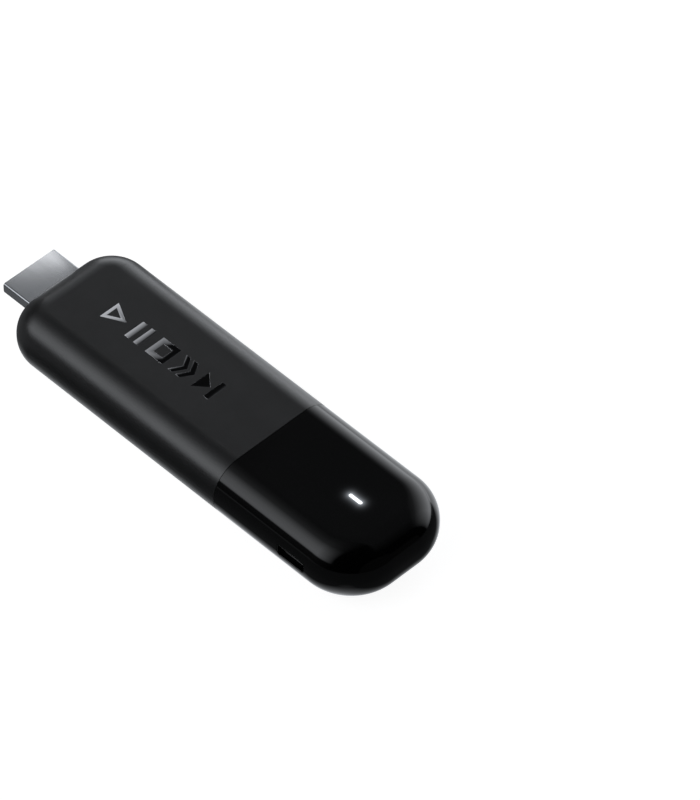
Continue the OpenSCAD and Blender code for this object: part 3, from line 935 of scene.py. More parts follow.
@dataclass(frozen=True)
class HousingForm:
    """Outer form of the stick: rounded plan corners, then one large edge radius all round."""

    start: float
    end: float
    half_width: float
    thickness: float
    edge_radius: float = 6.8 * MM
    plug_corner: float = 8.8 * MM
    lamp_corner: float = 12.2 * MM
    corner_segments: int = 28
    edge_segments: int = 22
    flat_margin: float = 0.3 * MM
    normal_slack: float = 0.03 * MM
    normal_match: float = 0.94

    @classmethod
    def from_frame(cls) -> "HousingForm":
        """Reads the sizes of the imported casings."""
        sleeve_low, sleeve_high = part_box("casing_sleeve")
        cap_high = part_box("end_cap")[1]
        return cls(sleeve_low.x, cap_high.x, sleeve_high.y, sleeve_high.z)

    def skin(self, inset: float = 0.0) -> BMesh:
        """Closed form, set in by inset all round.

        Args:
            inset: How far inside the outer form the skin lies.

        Returns:
            A new mesh of quads and two flats.
        """
        bm = bmesh.new()
        low = Vector((self.start + inset, -self.half_width + inset, inset))
        high = Vector((self.end - inset, self.half_width - inset, self.thickness - inset))
        block(bm, low, high)
        middle = (self.start + self.end) / 2
        for radius, sign in ((self.plug_corner, -1), (self.lamp_corner, 1)):
            upright = [
                edge
                for edge in bm.edges
                if abs(edge.verts[0].co.z - edge.verts[1].co.z) > self.thickness / 2
                and sign * (edge.verts[0].co.x - middle) > 0
                and abs(edge.verts[0].co.x - (low.x if sign < 0 else high.x)) < TOUCH
            ]
            bevel_edges(bm, upright, radius - inset, self.corner_segments)
        bm.normal_update()
        flats = [face for face in bm.faces if abs(face.normal.z) > FACING]
        rim = {edge for face in flats for edge in face.edges}
        bevel_edges(bm, rim, self.edge_radius - inset, self.edge_segments)
        bm.normal_update()
        flats = [face for face in bm.faces if abs(face.normal.z) > 1 - TOUCH and len(face.verts) > 4]
        bmesh.ops.inset_region(bm, faces=flats, thickness=self.flat_margin)
        return bm

    def held_in(self, point: Vector) -> Vector:
        """Nearest point within the form's own box."""
        return Vector(
            (
                min(max(point.x, self.start), self.end),
                min(max(point.y, -self.half_width), self.half_width),
                min(max(point.z, 0.0), self.thickness),
            )
        )

    def depth_and_side(self, point: Vector) -> tuple[float, Vector]:
        """How far a point lies inside the plan outline, and the direction straight out of it."""
        from_start = point.x - self.start
        from_end = self.end - point.x
        sign_x = -1.0 if from_start < from_end else 1.0
        along = min(from_start, from_end)
        across = self.half_width - abs(point.y)
        sign_y = math.copysign(1.0, point.y)
        corner = self.plug_corner if sign_x < 0 else self.lamp_corner
        if along < corner and across < corner:
            reach = Vector(((corner - along) * sign_x, (corner - across) * sign_y, 0))
            return corner - reach.length, reach.normalized()
        if along < across:
            return along, AXIS_X * sign_x
        return across, AXIS_Y * sign_y

    def normal_at(self, point: Vector) -> Vector | None:
        """True surface normal, or None where the point isn't on the outer form."""
        depth, side = self.depth_and_side(point)
        into = self.edge_radius - depth
        above = point.z - self.thickness / 2
        over = abs(above) - (self.thickness / 2 - self.edge_radius)
        lift = AXIS_Z * math.copysign(1.0, above)
        slack = self.normal_slack
        if into <= 0:
            return lift if abs(over - self.edge_radius) < slack else None
        if over <= 0:
            return side if abs(depth) < slack else None
        if abs(math.hypot(into, over) - self.edge_radius) > slack:
            return None
        return (side * into + lift * over).normalized()

    def true_normals(self, mesh: bpy.types.Mesh) -> None:
        """Gives the loops on the outer form its true normals, so that reflections run smoothly."""
        loops = [Vector((0, 0, 0))] * len(mesh.loops)
        found = [self.normal_at(vert.co) for vert in mesh.vertices]
        for polygon in mesh.polygons:
            normals = [found[mesh.loops[index].vertex_index] for index in polygon.loop_indices]
            facing = polygon.normal
            if any(normal is None or normal.dot(facing) < self.normal_match for normal in normals):
                continue
            for index, normal in zip(polygon.loop_indices, normals):
                loops[index] = normal
        mesh.normals_split_custom_set([tuple(loop) for loop in loops])


# ---- front mark ----


class Symbol(Enum):
    """Playback symbols of the front mark, in their order from the plug."""

    PLAY = 0
    PAUSE = 1
    STOP = 2
    FORWARD = 3
    SKIP = 4


@dataclass(frozen=True)
class FrontMark:
    """Row of generic playback symbols, a foil set into the front face."""

    start: float
    pitch: float = 6.5 * MM
    width: float = 5.0 * MM
    height: float = 5.2 * MM
    stroke: float = 1.3 * MM
    depth: float = 0.1 * MM
    rim: float = 0.035 * MM
    play_share: float = 0.6
    arrow_gap: float = 0.8 * MM
    skip_gap: float = 0.6 * MM
    cell_margin: float = 0.6 * MM
    pocket_slack: float = 0.02 * MM

    @classmethod
    def from_frame(cls) -> "FrontMark":
        """Finds the middle of the first symbol."""
        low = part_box("front_mark")[0]
        return cls(low.x + cls.width / 2)

    def ring(self, outer: Outline, inner: Outline) -> list[Outline]:
        """Strokes between two outlines with the same number of corners."""
        count = len(outer)
        strokes: list[Outline] = []
        for index in range(count):
            after = (index + 1) % count
            strokes.append([outer[index], outer[after], inner[after], inner[index]])
        return strokes

    def bar(self, centre: float) -> Outline:
        """Upright bar."""
        half = self.stroke / 2
        tall = self.height / 2
        return [(centre - half, -tall), (centre + half, -tall), (centre + half, tall), (centre - half, tall)]

    def strokes(self, symbol: Symbol) -> list[Outline]:
        """Convex strokes of a symbol, drawn around its middle, anticlockwise."""
        w = self.width / 2
        h = self.height / 2
        s = self.stroke
        if symbol is Symbol.PLAY:
            outer = [(-w, -h), (w, 0.0), (-w, h)]
            inset = self.play_share * s
            slope = h / self.width
            drop = inset * math.hypot(1.0, slope)
            corner = h - inset * slope - drop
            inner = [(-w + inset, -corner), (-w + (h - drop) / slope, 0.0), (-w + inset, corner)]
            return self.ring(outer, inner)
        if symbol is Symbol.PAUSE:
            return [self.bar(-w / 2), self.bar(w / 2)]
        if symbol is Symbol.STOP:
            return self.ring(rectangle(w, h), rectangle(w - s, h - s))
        if symbol is Symbol.FORWARD:
            deep = self.width - 2 * s - self.arrow_gap
            arrows: list[Outline] = []
            for left in (-w, -w + s + self.arrow_gap):
                arrows.append([(left, h), (left + deep, 0.0), (left + deep + s, 0.0), (left + s, h)])
                arrows.append([(left, -h), (left + s, -h), (left + deep + s, 0.0), (left + deep, 0.0)])
            return arrows
        arrow = [(-w, -h), (w - s - self.skip_gap, 0.0), (-w, h)]
        return [arrow, self.bar(w - s / 2)]

    def middle(self, symbol: Symbol, level: float) -> Vector:
        """Where a symbol's middle lies on the front face."""
        return Vector((self.start + symbol.value * self.pitch, 0, level))

    def cut_pockets(self, bm: BMesh, level: float) -> None:
        """Sinks a pocket for every symbol into the front face.

        Args:
            bm: The sleeve's mesh.
            level: Height of the front face.
        """
        for symbol in Symbol:
            centre = self.middle(symbol, level)
            reach = Reach.around(centre, Vector((self.width / 2, self.height / 2, THIN)))
            score(bm, cell_round(reach, self.cell_margin), reach)
            sunk: set[BMFace] = set()
            place = plane_frame(centre, AXIS_X, AXIS_Y)
            every = [bounding_sides(outline, 0.0, 0, place) for outline in self.strokes(symbol)]
            for sides in every:
                score(bm, sides, reach)
            for sides in every:
                sunk.update(inside(bm, sides, reach))
            push(bm, sunk, AXIS_Z * -(self.depth + self.pocket_slack))

    def build(self, level: float) -> None:
        """Makes the foil symbols, flush with the front face."""
        bm = bmesh.new()
        for symbol in Symbol:
            place = plane_frame(self.middle(symbol, level - self.depth), AXIS_X, AXIS_Y)
            for outline in self.strokes(symbol):
                outline_face(bm, outline, place)
        bmesh.ops.remove_doubles(bm, verts=bm.verts, dist=WELD)
        bmesh.ops.recalc_face_normals(bm, faces=bm.faces)
        for face in [face for face in bm.faces if face.normal.z < 0]:
            face.normal_flip()
        push(bm, list(bm.faces), AXIS_Z * self.depth)
        face_outwards(bm)
        bm.normal_update()
        upper = {vert for vert in bm.verts if abs(vert.co.z - level) < TOUCH}
        lifted = [edge for edge in sharp_edges(bm) if upper.issuperset(edge.verts)]
        bevel_edges(bm, lifted, self.rim, 2)
        make_piece(bm, "mark_symbols", [FINISHES.mark_foil], "front_mark")


# ---- video plug ----


@dataclass(frozen=True)
class VideoPlug:
    """Fixed plug of folded sheet metal with its insulating core and contacts."""

    tip: float
    root: float
    centre_z: float
    half_width: float
    half_height: float
    half_narrow: float = 4.95 * MM
    upright: float = 2.44 * MM
    corner: float = 0.5 * MM
    # Shares of a growth that reach the narrow side's ends and lower the knee of the slanted sides.
    narrow_share: float = 0.8
    knee_share: float = 0.2
    sheet: float = 0.35 * MM
    sheet_rim: float = 0.06 * MM
    carrier_gap: float = 0.2 * MM
    window: float = 2.3 * MM
    window_side: float = 2.65 * MM
    window_start: float = 2.6 * MM
    window_corner: float = 0.25 * MM
    fold_gap: float = 0.05 * MM
    fold_stops: Span = (1.3 * MM, 6.0 * MM)
    leg_sides: Span = (1.5 * MM, 0.4 * MM)
    leg_reach: float = 2.2 * MM
    leg_overlap: float = 0.3 * MM
    core_front: float = 0.7 * MM
    core_slack: float = 0.03 * MM
    core_corner: float = 0.25 * MM
    core_rim: float = 0.1 * MM
    slot_half: Span = (5.9 * MM, 0.7 * MM)
    slot_corner: float = 0.2 * MM
    slot_depth: float = 7.8 * MM
    strip_rim: float = 0.05 * MM

    @classmethod
    def from_frame(cls) -> "VideoPlug":
        """Reads the plug's place and size."""
        low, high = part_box("plug_shell")
        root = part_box("inner_carrier")[0].x - cls.carrier_gap
        middle = (low.z + high.z) / 2
        return cls(low.x, root, middle, high.y, high.z - middle)

    def outline(self, grow: float) -> Outline:
        """Section seen along X, anticlockwise, with the wide side on top."""
        half = self.half_width + grow
        narrow = self.half_narrow + grow * self.narrow_share
        high = self.half_height + grow
        knee = self.half_height - self.upright - grow * self.knee_share
        return [
            (-narrow, -high),
            (narrow, -high),
            (half, knee),
            (half, high),
            (-half, high),
            (-half, knee),
        ]

    def section(self, station: float) -> Matrix:
        """Drawing plane of the section at a station along X."""
        return plane_frame(Vector((station, 0, self.centre_z)), AXIS_Y, AXIS_Z)

    def build_shell(self) -> None:
        """Makes the folded shell with its latch windows, folded joint and solder legs."""
        run = AXIS_X * (self.root - self.tip)
        bm = prism(self.outline(0.0), self.section(self.tip), run, self.corner, 5)
        open_ends(bm, AXIS_X)
        floor = self.centre_z - self.half_height
        half = self.window / 2
        middle_x = self.tip + self.window_start + half
        for side in (-1, 1):
            centre = Vector((middle_x, side * self.window_side, floor))
            open_window(bm, *level_field(centre, (half, half), self.window_corner, 3))
        self.cut_fold(bm, floor)
        bm = thickened(bm, self.sheet)
        soften(bm, self.sheet_rim)
        self.add_legs(bm)
        make_piece(bm, "plug_sleeve", [FINISHES.plug_steel], "plug_shell")

    def cut_fold(self, bm: BMesh, floor: float) -> None:
        """Cuts the joint of the folded sheet along the narrow side, in three runs."""
        stops = [self.tip + stop for stop in self.fold_stops]
        stations = [self.tip, *stops, self.root]
        for start, end in zip(stations, stations[1:]):
            centre = Vector(((start + end) / 2, 0, floor))
            reach = Reach.around(centre, Vector(((end - start) / 2, self.fold_gap / 2, THIN)))
            sides = [Side(reach.high, AXIS_Y), Side(reach.low, -AXIS_Y)]
            sides += [Side(reach.high, AXIS_X), Side(reach.low, -AXIS_X)]
            open_window(bm, sides, reach)

    def add_legs(self, bm: BMesh) -> None:
        """Adds the two legs that hold the shell to the board."""
        top = self.centre_z + self.half_height
        under = top - self.sheet
        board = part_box("main_board")[1].z
        far = self.leg_reach
        near = far - self.sheet
        root = -self.leg_overlap
        hook = [(root, under), (near, under), (near, board), (far, board), (far, top), (root, top)]
        for side in (-1, 1):
            start, end = sorted(side * (self.half_width - gap) for gap in self.leg_sides)
            place = plane_frame(Vector((self.root, start, 0)), AXIS_X, AXIS_Z)
            leg = prism(hook, place, AXIS_Y * (end - start))
            soften(leg, self.sheet_rim)
            merge(bm, leg)

    def build_core(self) -> None:
        """Makes the insulating core with the slot that takes the mating tongue."""
        front = self.tip + self.core_front
        run = AXIS_X * (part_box("plug_insulator")[1].x - front)
        place = self.section(front)
        bm = prism(self.outline(-self.sheet - self.core_slack), place, run, self.core_corner, 3)
        sides = bounding_sides(rectangle(*self.slot_half), self.slot_corner, 3, place)
        reach = Reach.around(Vector((front, 0, self.centre_z)), Vector((THIN, *self.slot_half)))
        press(bm, sides, reach, AXIS_X * self.slot_depth)
        soften(bm, self.core_rim)
        make_piece(bm, "plug_core", [FINISHES.dark_plastic], "plug_insulator")

    def build(self) -> None:
        """Makes all pieces of the plug."""
        self.build_shell()
        self.build_core()
        build_strips("plug_contacts_upper", "plug_strips_upper", self.strip_rim)
        build_strips("plug_contacts_lower", "plug_strips_lower", self.strip_rim)


# ---- power port ----


@dataclass(frozen=True)
class PowerPort:
    """Small power port in the long side: metal mouth, tongue and contacts."""

    centre: Vector
    back: float
    width: float = 7.5 * MM
    height: float = 2.45 * MM
    cut: float = 0.7 * MM
    corner: float = 0.3 * MM
    sheet: float = 0.3 * MM
    sheet_rim: float = 0.07 * MM
    hole_width: float = 7.2 * MM
    hole_height: float = 2.5 * MM
    hole_cut: float = 0.6 * MM
    hole_corner: float = 0.25 * MM
    hole_reach: float = 0.6 * MM
    # Board tabs, measured out from the mouth's side and forwards from its back.
    tab_out: Span = (-0.1 * MM, 1.0 * MM)
    tab_back: Span = (1.6 * MM, 0.2 * MM)
    tab_rim: float = 0.06 * MM
    base_length: float = 1.2 * MM
    base_slack: float = 0.04 * MM
    base_cut: float = 0.58 * MM
    tongue_half: float = 1.85 * MM
    tongue_levels: Span = (0.12 * MM, 0.72 * MM)
    tongue_corner: float = 0.1 * MM
    tongue_rim: float = 0.06 * MM
    strip_rim: float = 0.03 * MM

    @classmethod
    def from_frame(cls) -> "PowerPort":
        """Reads the port's place; its centre lies in the plane of its mouth."""
        low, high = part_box("port_shell")
        middle = (low + high) / 2
        return cls(Vector((middle.x, low.y, middle.z)), high.y)

    def outline(self, width: float, height: float, cut: float) -> Outline:
        """Section seen along +Y, anticlockwise, with its two lower corners cut off."""
        w = width / 2
        h = height / 2
        return [(-w + cut, -h), (w - cut, -h), (w, -h + cut), (w, h), (-w, h), (-w, -h + cut)]

    def mouth_sides(self, level_y: float) -> tuple[list[Side], Reach]:
        """Sides and reach of the hole that the end cap leaves for the port."""
        centre = Vector((self.centre.x, level_y, self.centre.z))
        outline = self.outline(self.hole_width, self.hole_height, self.hole_cut)
        half = Vector((self.hole_width / 2, self.hole_reach, self.hole_height / 2))
        sides = bounding_sides(outline, self.hole_corner, 4, plane_frame(centre, AXIS_X, AXIS_Z))
        return sides, Reach.around(centre, half)

    def build_shell(self) -> None:
        """Makes the folded metal mouth with its two board tabs."""
        run = AXIS_Y * (self.back - self.centre.y)
        outline = self.outline(self.width, self.height, self.cut)
        bm = prism(outline, plane_frame(self.centre, AXIS_X, AXIS_Z), run, self.corner, 4)
        open_ends(bm, AXIS_Y)
        bm = thickened(bm, self.sheet)
        soften(bm, self.sheet_rim)
        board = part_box("main_board")[1].z
        for side in (-1, 1):
            start, end = sorted(self.centre.x + side * (self.width / 2 + out) for out in self.tab_out)
            low = Vector((start, self.back - self.tab_back[0], board))
            high = Vector((end, self.back - self.tab_back[1], board + self.sheet))
            add_block(bm, low, high, self.tab_rim)
        make_piece(bm, "port_mouth", [FINISHES.can_steel], "port_shell")

    def build_tongue(self) -> None:
        """Makes the insulating tongue on its base."""
        low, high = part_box("port_tongue")
        width = self.width - 2 * self.sheet - self.base_slack
        height = self.height - 2 * self.sheet - self.base_slack
        middle = Vector((self.centre.x, self.back - self.base_length, self.centre.z))
        place = plane_frame(middle, AXIS_X, AXIS_Z)
        bm = prism(self.outline(width, height, self.base_cut), place, AXIS_Y * (high.y - middle.y))
        half = self.tongue_half
        floor, roof = self.tongue_levels
        bar = [(-half, floor), (half, floor), (half, roof), (-half, roof)]
        sides = bounding_sides(bar, self.tongue_corner, 2, place)
        centre = middle + AXIS_Z * (floor + roof) / 2
        reach = Reach.around(centre, Vector((half, THIN, (roof - floor) / 2)))
        press(bm, sides, reach, AXIS_Y * (low.y - middle.y))
        soften(bm, self.tongue_rim)
        make_piece(bm, "port_core", [FINISHES.dark_plastic], "port_tongue")

    def build(self) -> None:
        """Makes all pieces of the port."""
        self.build_shell()
        self.build_tongue()
        build_strips("port_contacts", "port_strips", self.strip_rim)


# ---- status lamp ----


@dataclass(frozen=True)
class StatusLamp:
    """Light guide from the lamp chip to the bar in the front face."""

    centre: Vector
    flange_foot: float
    flange_height: float = 0.6 * MM
    length: float = 3.5 * MM
    width: float = 0.8 * MM
    slack: float = 0.02 * MM
    rim: float = 0.06 * MM
    stem_half: Span = (1.8 * MM, 0.9 * MM)
    stem_corner: float = 0.3 * MM
    chip_rim: float = 0.05 * MM
    well_half: Span = (0.45 * MM, 0.25 * MM)
    well_corner: float = 0.2 * MM
    well_depth: float = 0.15 * MM

    @classmethod
    def from_frame(cls) -> "StatusLamp":
        """Reads the window's place, in the plane of the front face."""
        low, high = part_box("light_pipe")
        middle = (low + high) / 2
        return cls(Vector((middle.x, middle.y, high.z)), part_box("light_shroud")[1].z)

    def window(self, slack: float, level: float) -> tuple[list[Side], Reach]:
        """Sides and reach of the window's outline at a level."""
        half = (self.length / 2 - slack, self.width / 2 - slack)
        return level_field(Vector((self.centre.x, self.centre.y, level)), half, half[1] - TOUCH, 9)

    def build(self) -> None:
        """Makes the light guide and the lamp chip, and gives the rubber sleeve round the guide its material.
        """
        low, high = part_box("light_pipe")
        foot = self.flange_foot
        top = foot + self.flange_height
        bm = bmesh.new()
        block(bm, Vector((low.x, low.y, foot)), Vector((high.x, high.y, top)))
        press(bm, *self.window(self.slack, top), AXIS_Z * (high.z - top))
        stem = level_field(
            Vector((self.centre.x, self.centre.y, foot)), self.stem_half, self.stem_corner, 3
        )
        press(bm, *stem, AXIS_Z * (low.z - foot))
        soften(bm, self.rim)
        make_piece(bm, "light_guide", [FINISHES.lamp_window], "light_pipe")
        dress_node("light_shroud", FINISHES.shroud_rubber)
        self.build_chip()

    def build_chip(self) -> None:
        """Makes the lamp chip: a ceramic tub with a clear filling."""
        low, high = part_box("lamp_chip")
        bm = bmesh.new()
        block(bm, low, high)
        soften(bm, self.chip_rim)
        top = Vector(((low.x + high.x) / 2, (low.y + high.y) / 2, high.z))
        well = level_field(top, self.well_half, self.well_corner, 3)
        for face in press(bm, *well, AXIS_Z * -self.well_depth):
            face.material_index = 1
        finishes = [FINISHES.lamp_body, FINISHES.lamp_window]
        make_piece(bm, "lamp_tub", finishes, "lamp_chip")


# ---- casings ----


@dataclass(frozen=True)
class Casings:
    """Matte sleeve and glossy end cap, both walls thick and open at the seam."""

    form: HousingForm
    plug: VideoPlug
    port: PowerPort
    lamp: StatusLamp
    mark: FrontMark
    seam: float
    wall: float = 1.5 * MM
    seam_gap: float = 0.03 * MM
    rim: float = 0.09 * MM
    port_rim: float = 0.2 * MM
    port_margin: float = 1.0 * MM
    plug_gap: float = 0.1 * MM
    plug_reach: float = 4.0 * MM
    mark_depth: float = 0.2 * MM
    window_margin: float = 0.8 * MM
    lip: float = 3.0 * MM
    lip_inset: float = 1.6 * MM
    lip_wall: float = 0.9 * MM
    lip_rim: float = 0.12 * MM
    collar: float = 2.0 * MM
    collar_start: float = 0.05 * MM
    collar_rise: float = 0.15 * MM
    # Snap tabs on the lip: their middle and half length across, length along X, rise and root.
    snap_across: float = 5.0 * MM
    snap_half: float = 2.5 * MM
    snap_length: float = 1.2 * MM
    snap_rise: float = 0.35 * MM
    snap_root: float = 0.3 * MM
    # Guide ribs: stations from the housing's start, inner end, length along X and levels.
    sleeve_ribs: Span = (12 * MM, 52 * MM)
    cap_rib: float = 70 * MM
    rib_inner: float = 12.7 * MM
    rib_length: float = 3.0 * MM
    rib_levels: Span = (5.5 * MM, 8.0 * MM)
    inner_rim: float = 0.2 * MM

    def finish_casing(self, bm: BMesh, name: str, finish: Finish, node: str) -> None:
        """Turns a casing's mesh into a piece with the form's true normals."""
        for vert in bm.verts:
            vert.co = self.form.held_in(vert.co)
        bmesh.ops.dissolve_degenerate(bm, edges=bm.edges, dist=WELD)
        piece = make_piece(bm, name, [finish], node)
        self.form.true_normals(piece.data)

    def add_ribs(self, bm: BMesh, start: float) -> None:
        """Adds the pair of guide ribs that begins at a station."""
        outer = self.form.half_width - self.wall / 2
        floor, roof = self.rib_levels
        for side in (-1, 1):
            near, far = sorted((side * self.rib_inner, side * outer))
            low = Vector((start, near, floor))
            high = Vector((start + self.rib_length, far, roof))
            add_block(bm, low, high, self.inner_rim, 3)

    def build_sleeve(self) -> None:
        """Makes the matte sleeve with the plug's slot and the pockets of the mark."""
        bm = self.form.skin()
        keep_between(bm, self.form.start - MM, self.seam - self.seam_gap / 2)
        plug = self.plug
        start = self.form.start
        sides = bounding_sides(plug.outline(self.plug_gap), plug.corner, 5, plug.section(start))
        low = Vector((start - MM, -plug.half_width, plug.centre_z - plug.half_height))
        high = Vector((start + self.plug_reach, plug.half_width, plug.centre_z + plug.half_height))
        open_window(bm, sides, Reach(low, high))
        bm = thickened(bm, self.wall)
        self.mark.cut_pockets(bm, self.form.thickness)
        pockets = [edge for edge in sharp_edges(bm) if self.is_rim(edge)]
        bevel_edges(bm, pockets, self.rim, 3)
        for station in self.sleeve_ribs:
            self.add_ribs(bm, start + station)
        self.finish_casing(bm, "sleeve_casing", FINISHES.sleeve, "casing_sleeve")

    def is_rim(self, edge: BMEdge) -> bool:
        """True for an edge of the seam, the plug's slot or another opening, not of the mark."""
        front = self.form.thickness - self.mark_depth
        on_mark = all(
            vert.co.z > front and abs(vert.co.x - self.seam) > MM and vert.co.x < self.seam
            for vert in edge.verts
        )
        return not on_mark

    def at_port(self, edge: BMEdge) -> bool:
        """Whether an edge belongs to the hole for the power port."""
        middle = (edge.verts[0].co + edge.verts[1].co) / 2
        along = abs(middle.x - self.port.centre.x) < self.port.hole_width / 2 + self.port_margin
        return along and middle.y < self.port.centre.y + self.port_margin

    def build_cap(self) -> None:
        """Makes the glossy end cap with the lamp's window, the port's hole and the inner lip."""
        bm = self.form.skin()
        keep_between(bm, self.seam + self.seam_gap / 2, self.form.end + MM)
        sides, reach = self.lamp.window(0.0, self.form.thickness)
        score(bm, cell_round(reach, self.window_margin), reach)
        open_window(bm, sides, reach)
        open_window(bm, *self.port.mouth_sides(-self.form.half_width))
        bm = thickened(bm, self.wall)
        mouth = [edge for edge in sharp_edges(bm) if self.at_port(edge)]
        bevel_edges(bm, mouth, self.port_rim, 3)
        others = [edge for edge in sharp_edges(bm) if not self.at_port(edge)]
        bevel_edges(bm, others, self.rim, 3)
        merge(bm, self.make_lip())
        self.add_ribs(bm, self.form.start + self.cap_rib)
        self.finish_casing(bm, "end_cap_casing", FINISHES.end_gloss, "end_cap")

    def make_lip(self) -> BMesh:
        """Makes the lip that reaches into the sleeve, and the collar that joins it to the cap."""
        bm = self.form.skin(self.lip_inset)
        keep_between(bm, self.seam - self.lip, self.seam + self.collar)
        step = self.seam + self.collar_start
        everywhere = Reach(Vector((-1, -1, -1)), Vector((1, 1, 1)))
        score(bm, [Side(AXIS_X * step, AXIS_X)], everywhere)
        bm.normal_update()
        for vert in bm.verts:
            if vert.co.x > step + THIN:
                vert.co += vert.normal * self.collar_rise
        bm = thickened(bm, self.lip_wall)
        soften(bm, self.lip_rim)
        self.add_snaps(bm)
        return bm

    def add_snaps(self, bm: BMesh) -> None:
        """Adds the four snap tabs of the lip."""
        start = self.seam - self.lip / 2 - self.snap_length / 2
        size = Vector((self.snap_length, 2 * self.snap_half, self.snap_rise + self.snap_root))
        front = self.form.thickness - self.lip_inset
        for side in (-1, 1):
            across = side * self.snap_across - self.snap_half
            for foot in (front - self.snap_root, self.lip_inset - self.snap_rise):
                low = Vector((start, across, foot))
                add_block(bm, low, low + size, self.inner_rim, 3)

    def build(self) -> None:
        """Makes both casings and the mark."""
        self.build_sleeve()
        self.build_cap()
        self.mark.build(self.form.thickness)


# ---- finishes of this object ----


# Middle of the lamp's window in the front face.
LAMP_MIDDLE = (39.4 * MM, 0.0, 14 * MM)


@dataclass(frozen=True)
class FinishSet:
    """Every finish that the stick uses."""

    sleeve: Finish = MouldedPlastic("sleeve_matte", gloss_level=0.9)
    # The end cap's gloss finish also carries a painted glow round the lamp's window.
    end_gloss: Finish = GlossPlastic("cap_gloss_painted_glow", lamp_place=LAMP_MIDDLE)
    mark_foil: Finish = RolledMetal(
        "mark_foil",
        dark=(0.78, 0.78, 0.80),
        light=(0.90, 0.90, 0.92),
        smooth=0.008,
        rough=0.03,
        line_depth=0.0000001,
    )
    lamp_window: Finish = LitWindow("lamp_window", centre=LAMP_MIDDLE)
    plug_steel: Finish = RolledMetal(
        "plug_steel", dark=(0.34, 0.35, 0.365), light=(0.50, 0.51, 0.53), smooth=0.16, rough=0.28
    )
    can_steel: Finish = RolledMetal(
        "can_steel", dark=(0.50, 0.50, 0.50), light=(0.66, 0.66, 0.65), smooth=0.24, rough=0.4
    )
    screw_steel: Finish = RolledMetal(
        "screw_steel", dark=(0.38, 0.38, 0.40), light=(0.58, 0.58, 0.60), line_stretch=(1, 1, 0.1)
    )
    spreader_metal: Finish = RolledMetal(
        "spreader_metal", dark=(0.62, 0.63, 0.64), light=(0.76, 0.77, 0.78), smooth=0.26, rough=0.42
    )
    antenna_metal: Finish = RolledMetal(
        "antenna_metal", dark=(0.62, 0.42, 0.20), light=(0.80, 0.58, 0.30), smooth=0.2, rough=0.36
    )
    contact_gold: Finish = RolledMetal(
        "contact_gold", dark=(0.80, 0.56, 0.22), light=(0.95, 0.74, 0.36), smooth=0.14, rough=0.26
    )
    dark_plastic: Finish = MouldedPlastic(
        "dark_plastic", dark=(0.010, 0.010, 0.011), light=(0.016, 0.016, 0.017), smooth=0.3, rough=0.42
    )
    carrier_plastic: Finish = MouldedPlastic(
        "carrier_plastic", dark=(0.035, 0.036, 0.040), light=(0.050, 0.051, 0.056), rough=0.55
    )
    shroud_rubber: Finish = MouldedPlastic(
        "shroud_rubber",
        dark=(0.012, 0.012, 0.012),
        light=(0.026, 0.026, 0.026),
        smooth=0.75,
        rough=0.95,
        grain_scale=2600.0,
        grain_depth=0.00006,
    )
    board_laminate: Finish = CircuitLaminate("board_laminate")
    chip_epoxy: Finish = MouldedPlastic(
        "chip_epoxy",
        dark=(0.014, 0.014, 0.015),
        light=(0.030, 0.030, 0.031),
        smooth=0.38,
        rough=0.62,
        grain_scale=9000.0,
    )
    chip_base: Finish = MouldedPlastic(
        "chip_base", dark=(0.03, 0.09, 0.05), light=(0.05, 0.13, 0.07), smooth=0.3, rough=0.4
    )
    ferrite: Finish = MouldedPlastic(
        "ferrite", dark=(0.06, 0.058, 0.055), light=(0.11, 0.105, 0.10), rough=0.7, grain_depth=0.00003
    )
    capacitor_body: Finish = MouldedPlastic(
        "capacitor_body", dark=(0.34, 0.22, 0.12), light=(0.46, 0.31, 0.18), smooth=0.32, rough=0.46
    )
    lamp_body: Finish = MouldedPlastic(
        "lamp_body", dark=(0.70, 0.68, 0.58), light=(0.82, 0.80, 0.72), smooth=0.3, rough=0.42
    )
    pad_silicone: Finish = MouldedPlastic(
        "pad_silicone",
        dark=(0.20, 0.27, 0.33),
        light=(0.28, 0.36, 0.42),
        smooth=0.5,
        rough=0.72,
        grain_scale=3000.0,
        grain_depth=0.00003,
    )
    lead_jacket: Finish = MouldedPlastic(
        "lead_jacket", dark=(0.016, 0.017, 0.020), light=(0.024, 0.025, 0.030), smooth=0.34, rough=0.44
    )


FINISHES = FinishSet()


# ---- inside ----


# Share of a square's half side at which its rounded corners just don't meet.
FULL_ROUND = 0.999


def flat_outline(low: Vector, high: Vector) -> Outline:
    """Rectangle of a box seen from above."""
    return [(low.x, low.y), (high.x, low.y), (high.x, high.y), (low.x, high.y)]


def slab(low: Vector, high: Vector, corner: float, rim: float) -> BMesh:
    """Makes a plate with rounded corners and softened edges.

    Args:
        low: Lowest corner of its box.
        high: Highest corner of its box.
        corner: Radius of the upright corners.
        rim: Width of the softened edges.

    Returns:
        The plate's mesh.
    """
    place = Matrix.Translation((0, 0, low.z))
    bm = prism(flat_outline(low, high), place, AXIS_Z * (high.z - low.z), corner, 4)
    soften(bm, rim)
    return bm


def sink_field(bm: BMesh, outline: Outline, radius: float, level: float, depth: float) -> None:
    """Sinks a convex field into a level face.

    Args:
        bm: Mesh that has the face.
        outline: Corners of the field, anticlockwise.
        radius: Radius of its corners.
        level: Height of the face.
        depth: How far the field goes down.
    """
    sides = bounding_sides(outline, radius, 5, Matrix.Translation((0, 0, level)))
    xs = [point[0] for point in outline]
    ys = [point[1] for point in outline]
    thin = THIN / 5
    reach = Reach(Vector((min(xs), min(ys), level - thin)), Vector((max(xs), max(ys), level + thin)))
    press(bm, sides, reach, AXIS_Z * -depth)


def round_mark(middle: tuple[float, float], radius: float) -> tuple[Outline, float]:
    """Square whose fully rounded corners make a disc."""
    x, y = middle
    r = radius
    return [(x - r, y - r), (x + r, y - r), (x + r, y + r), (x - r, y + r)], radius * FULL_ROUND


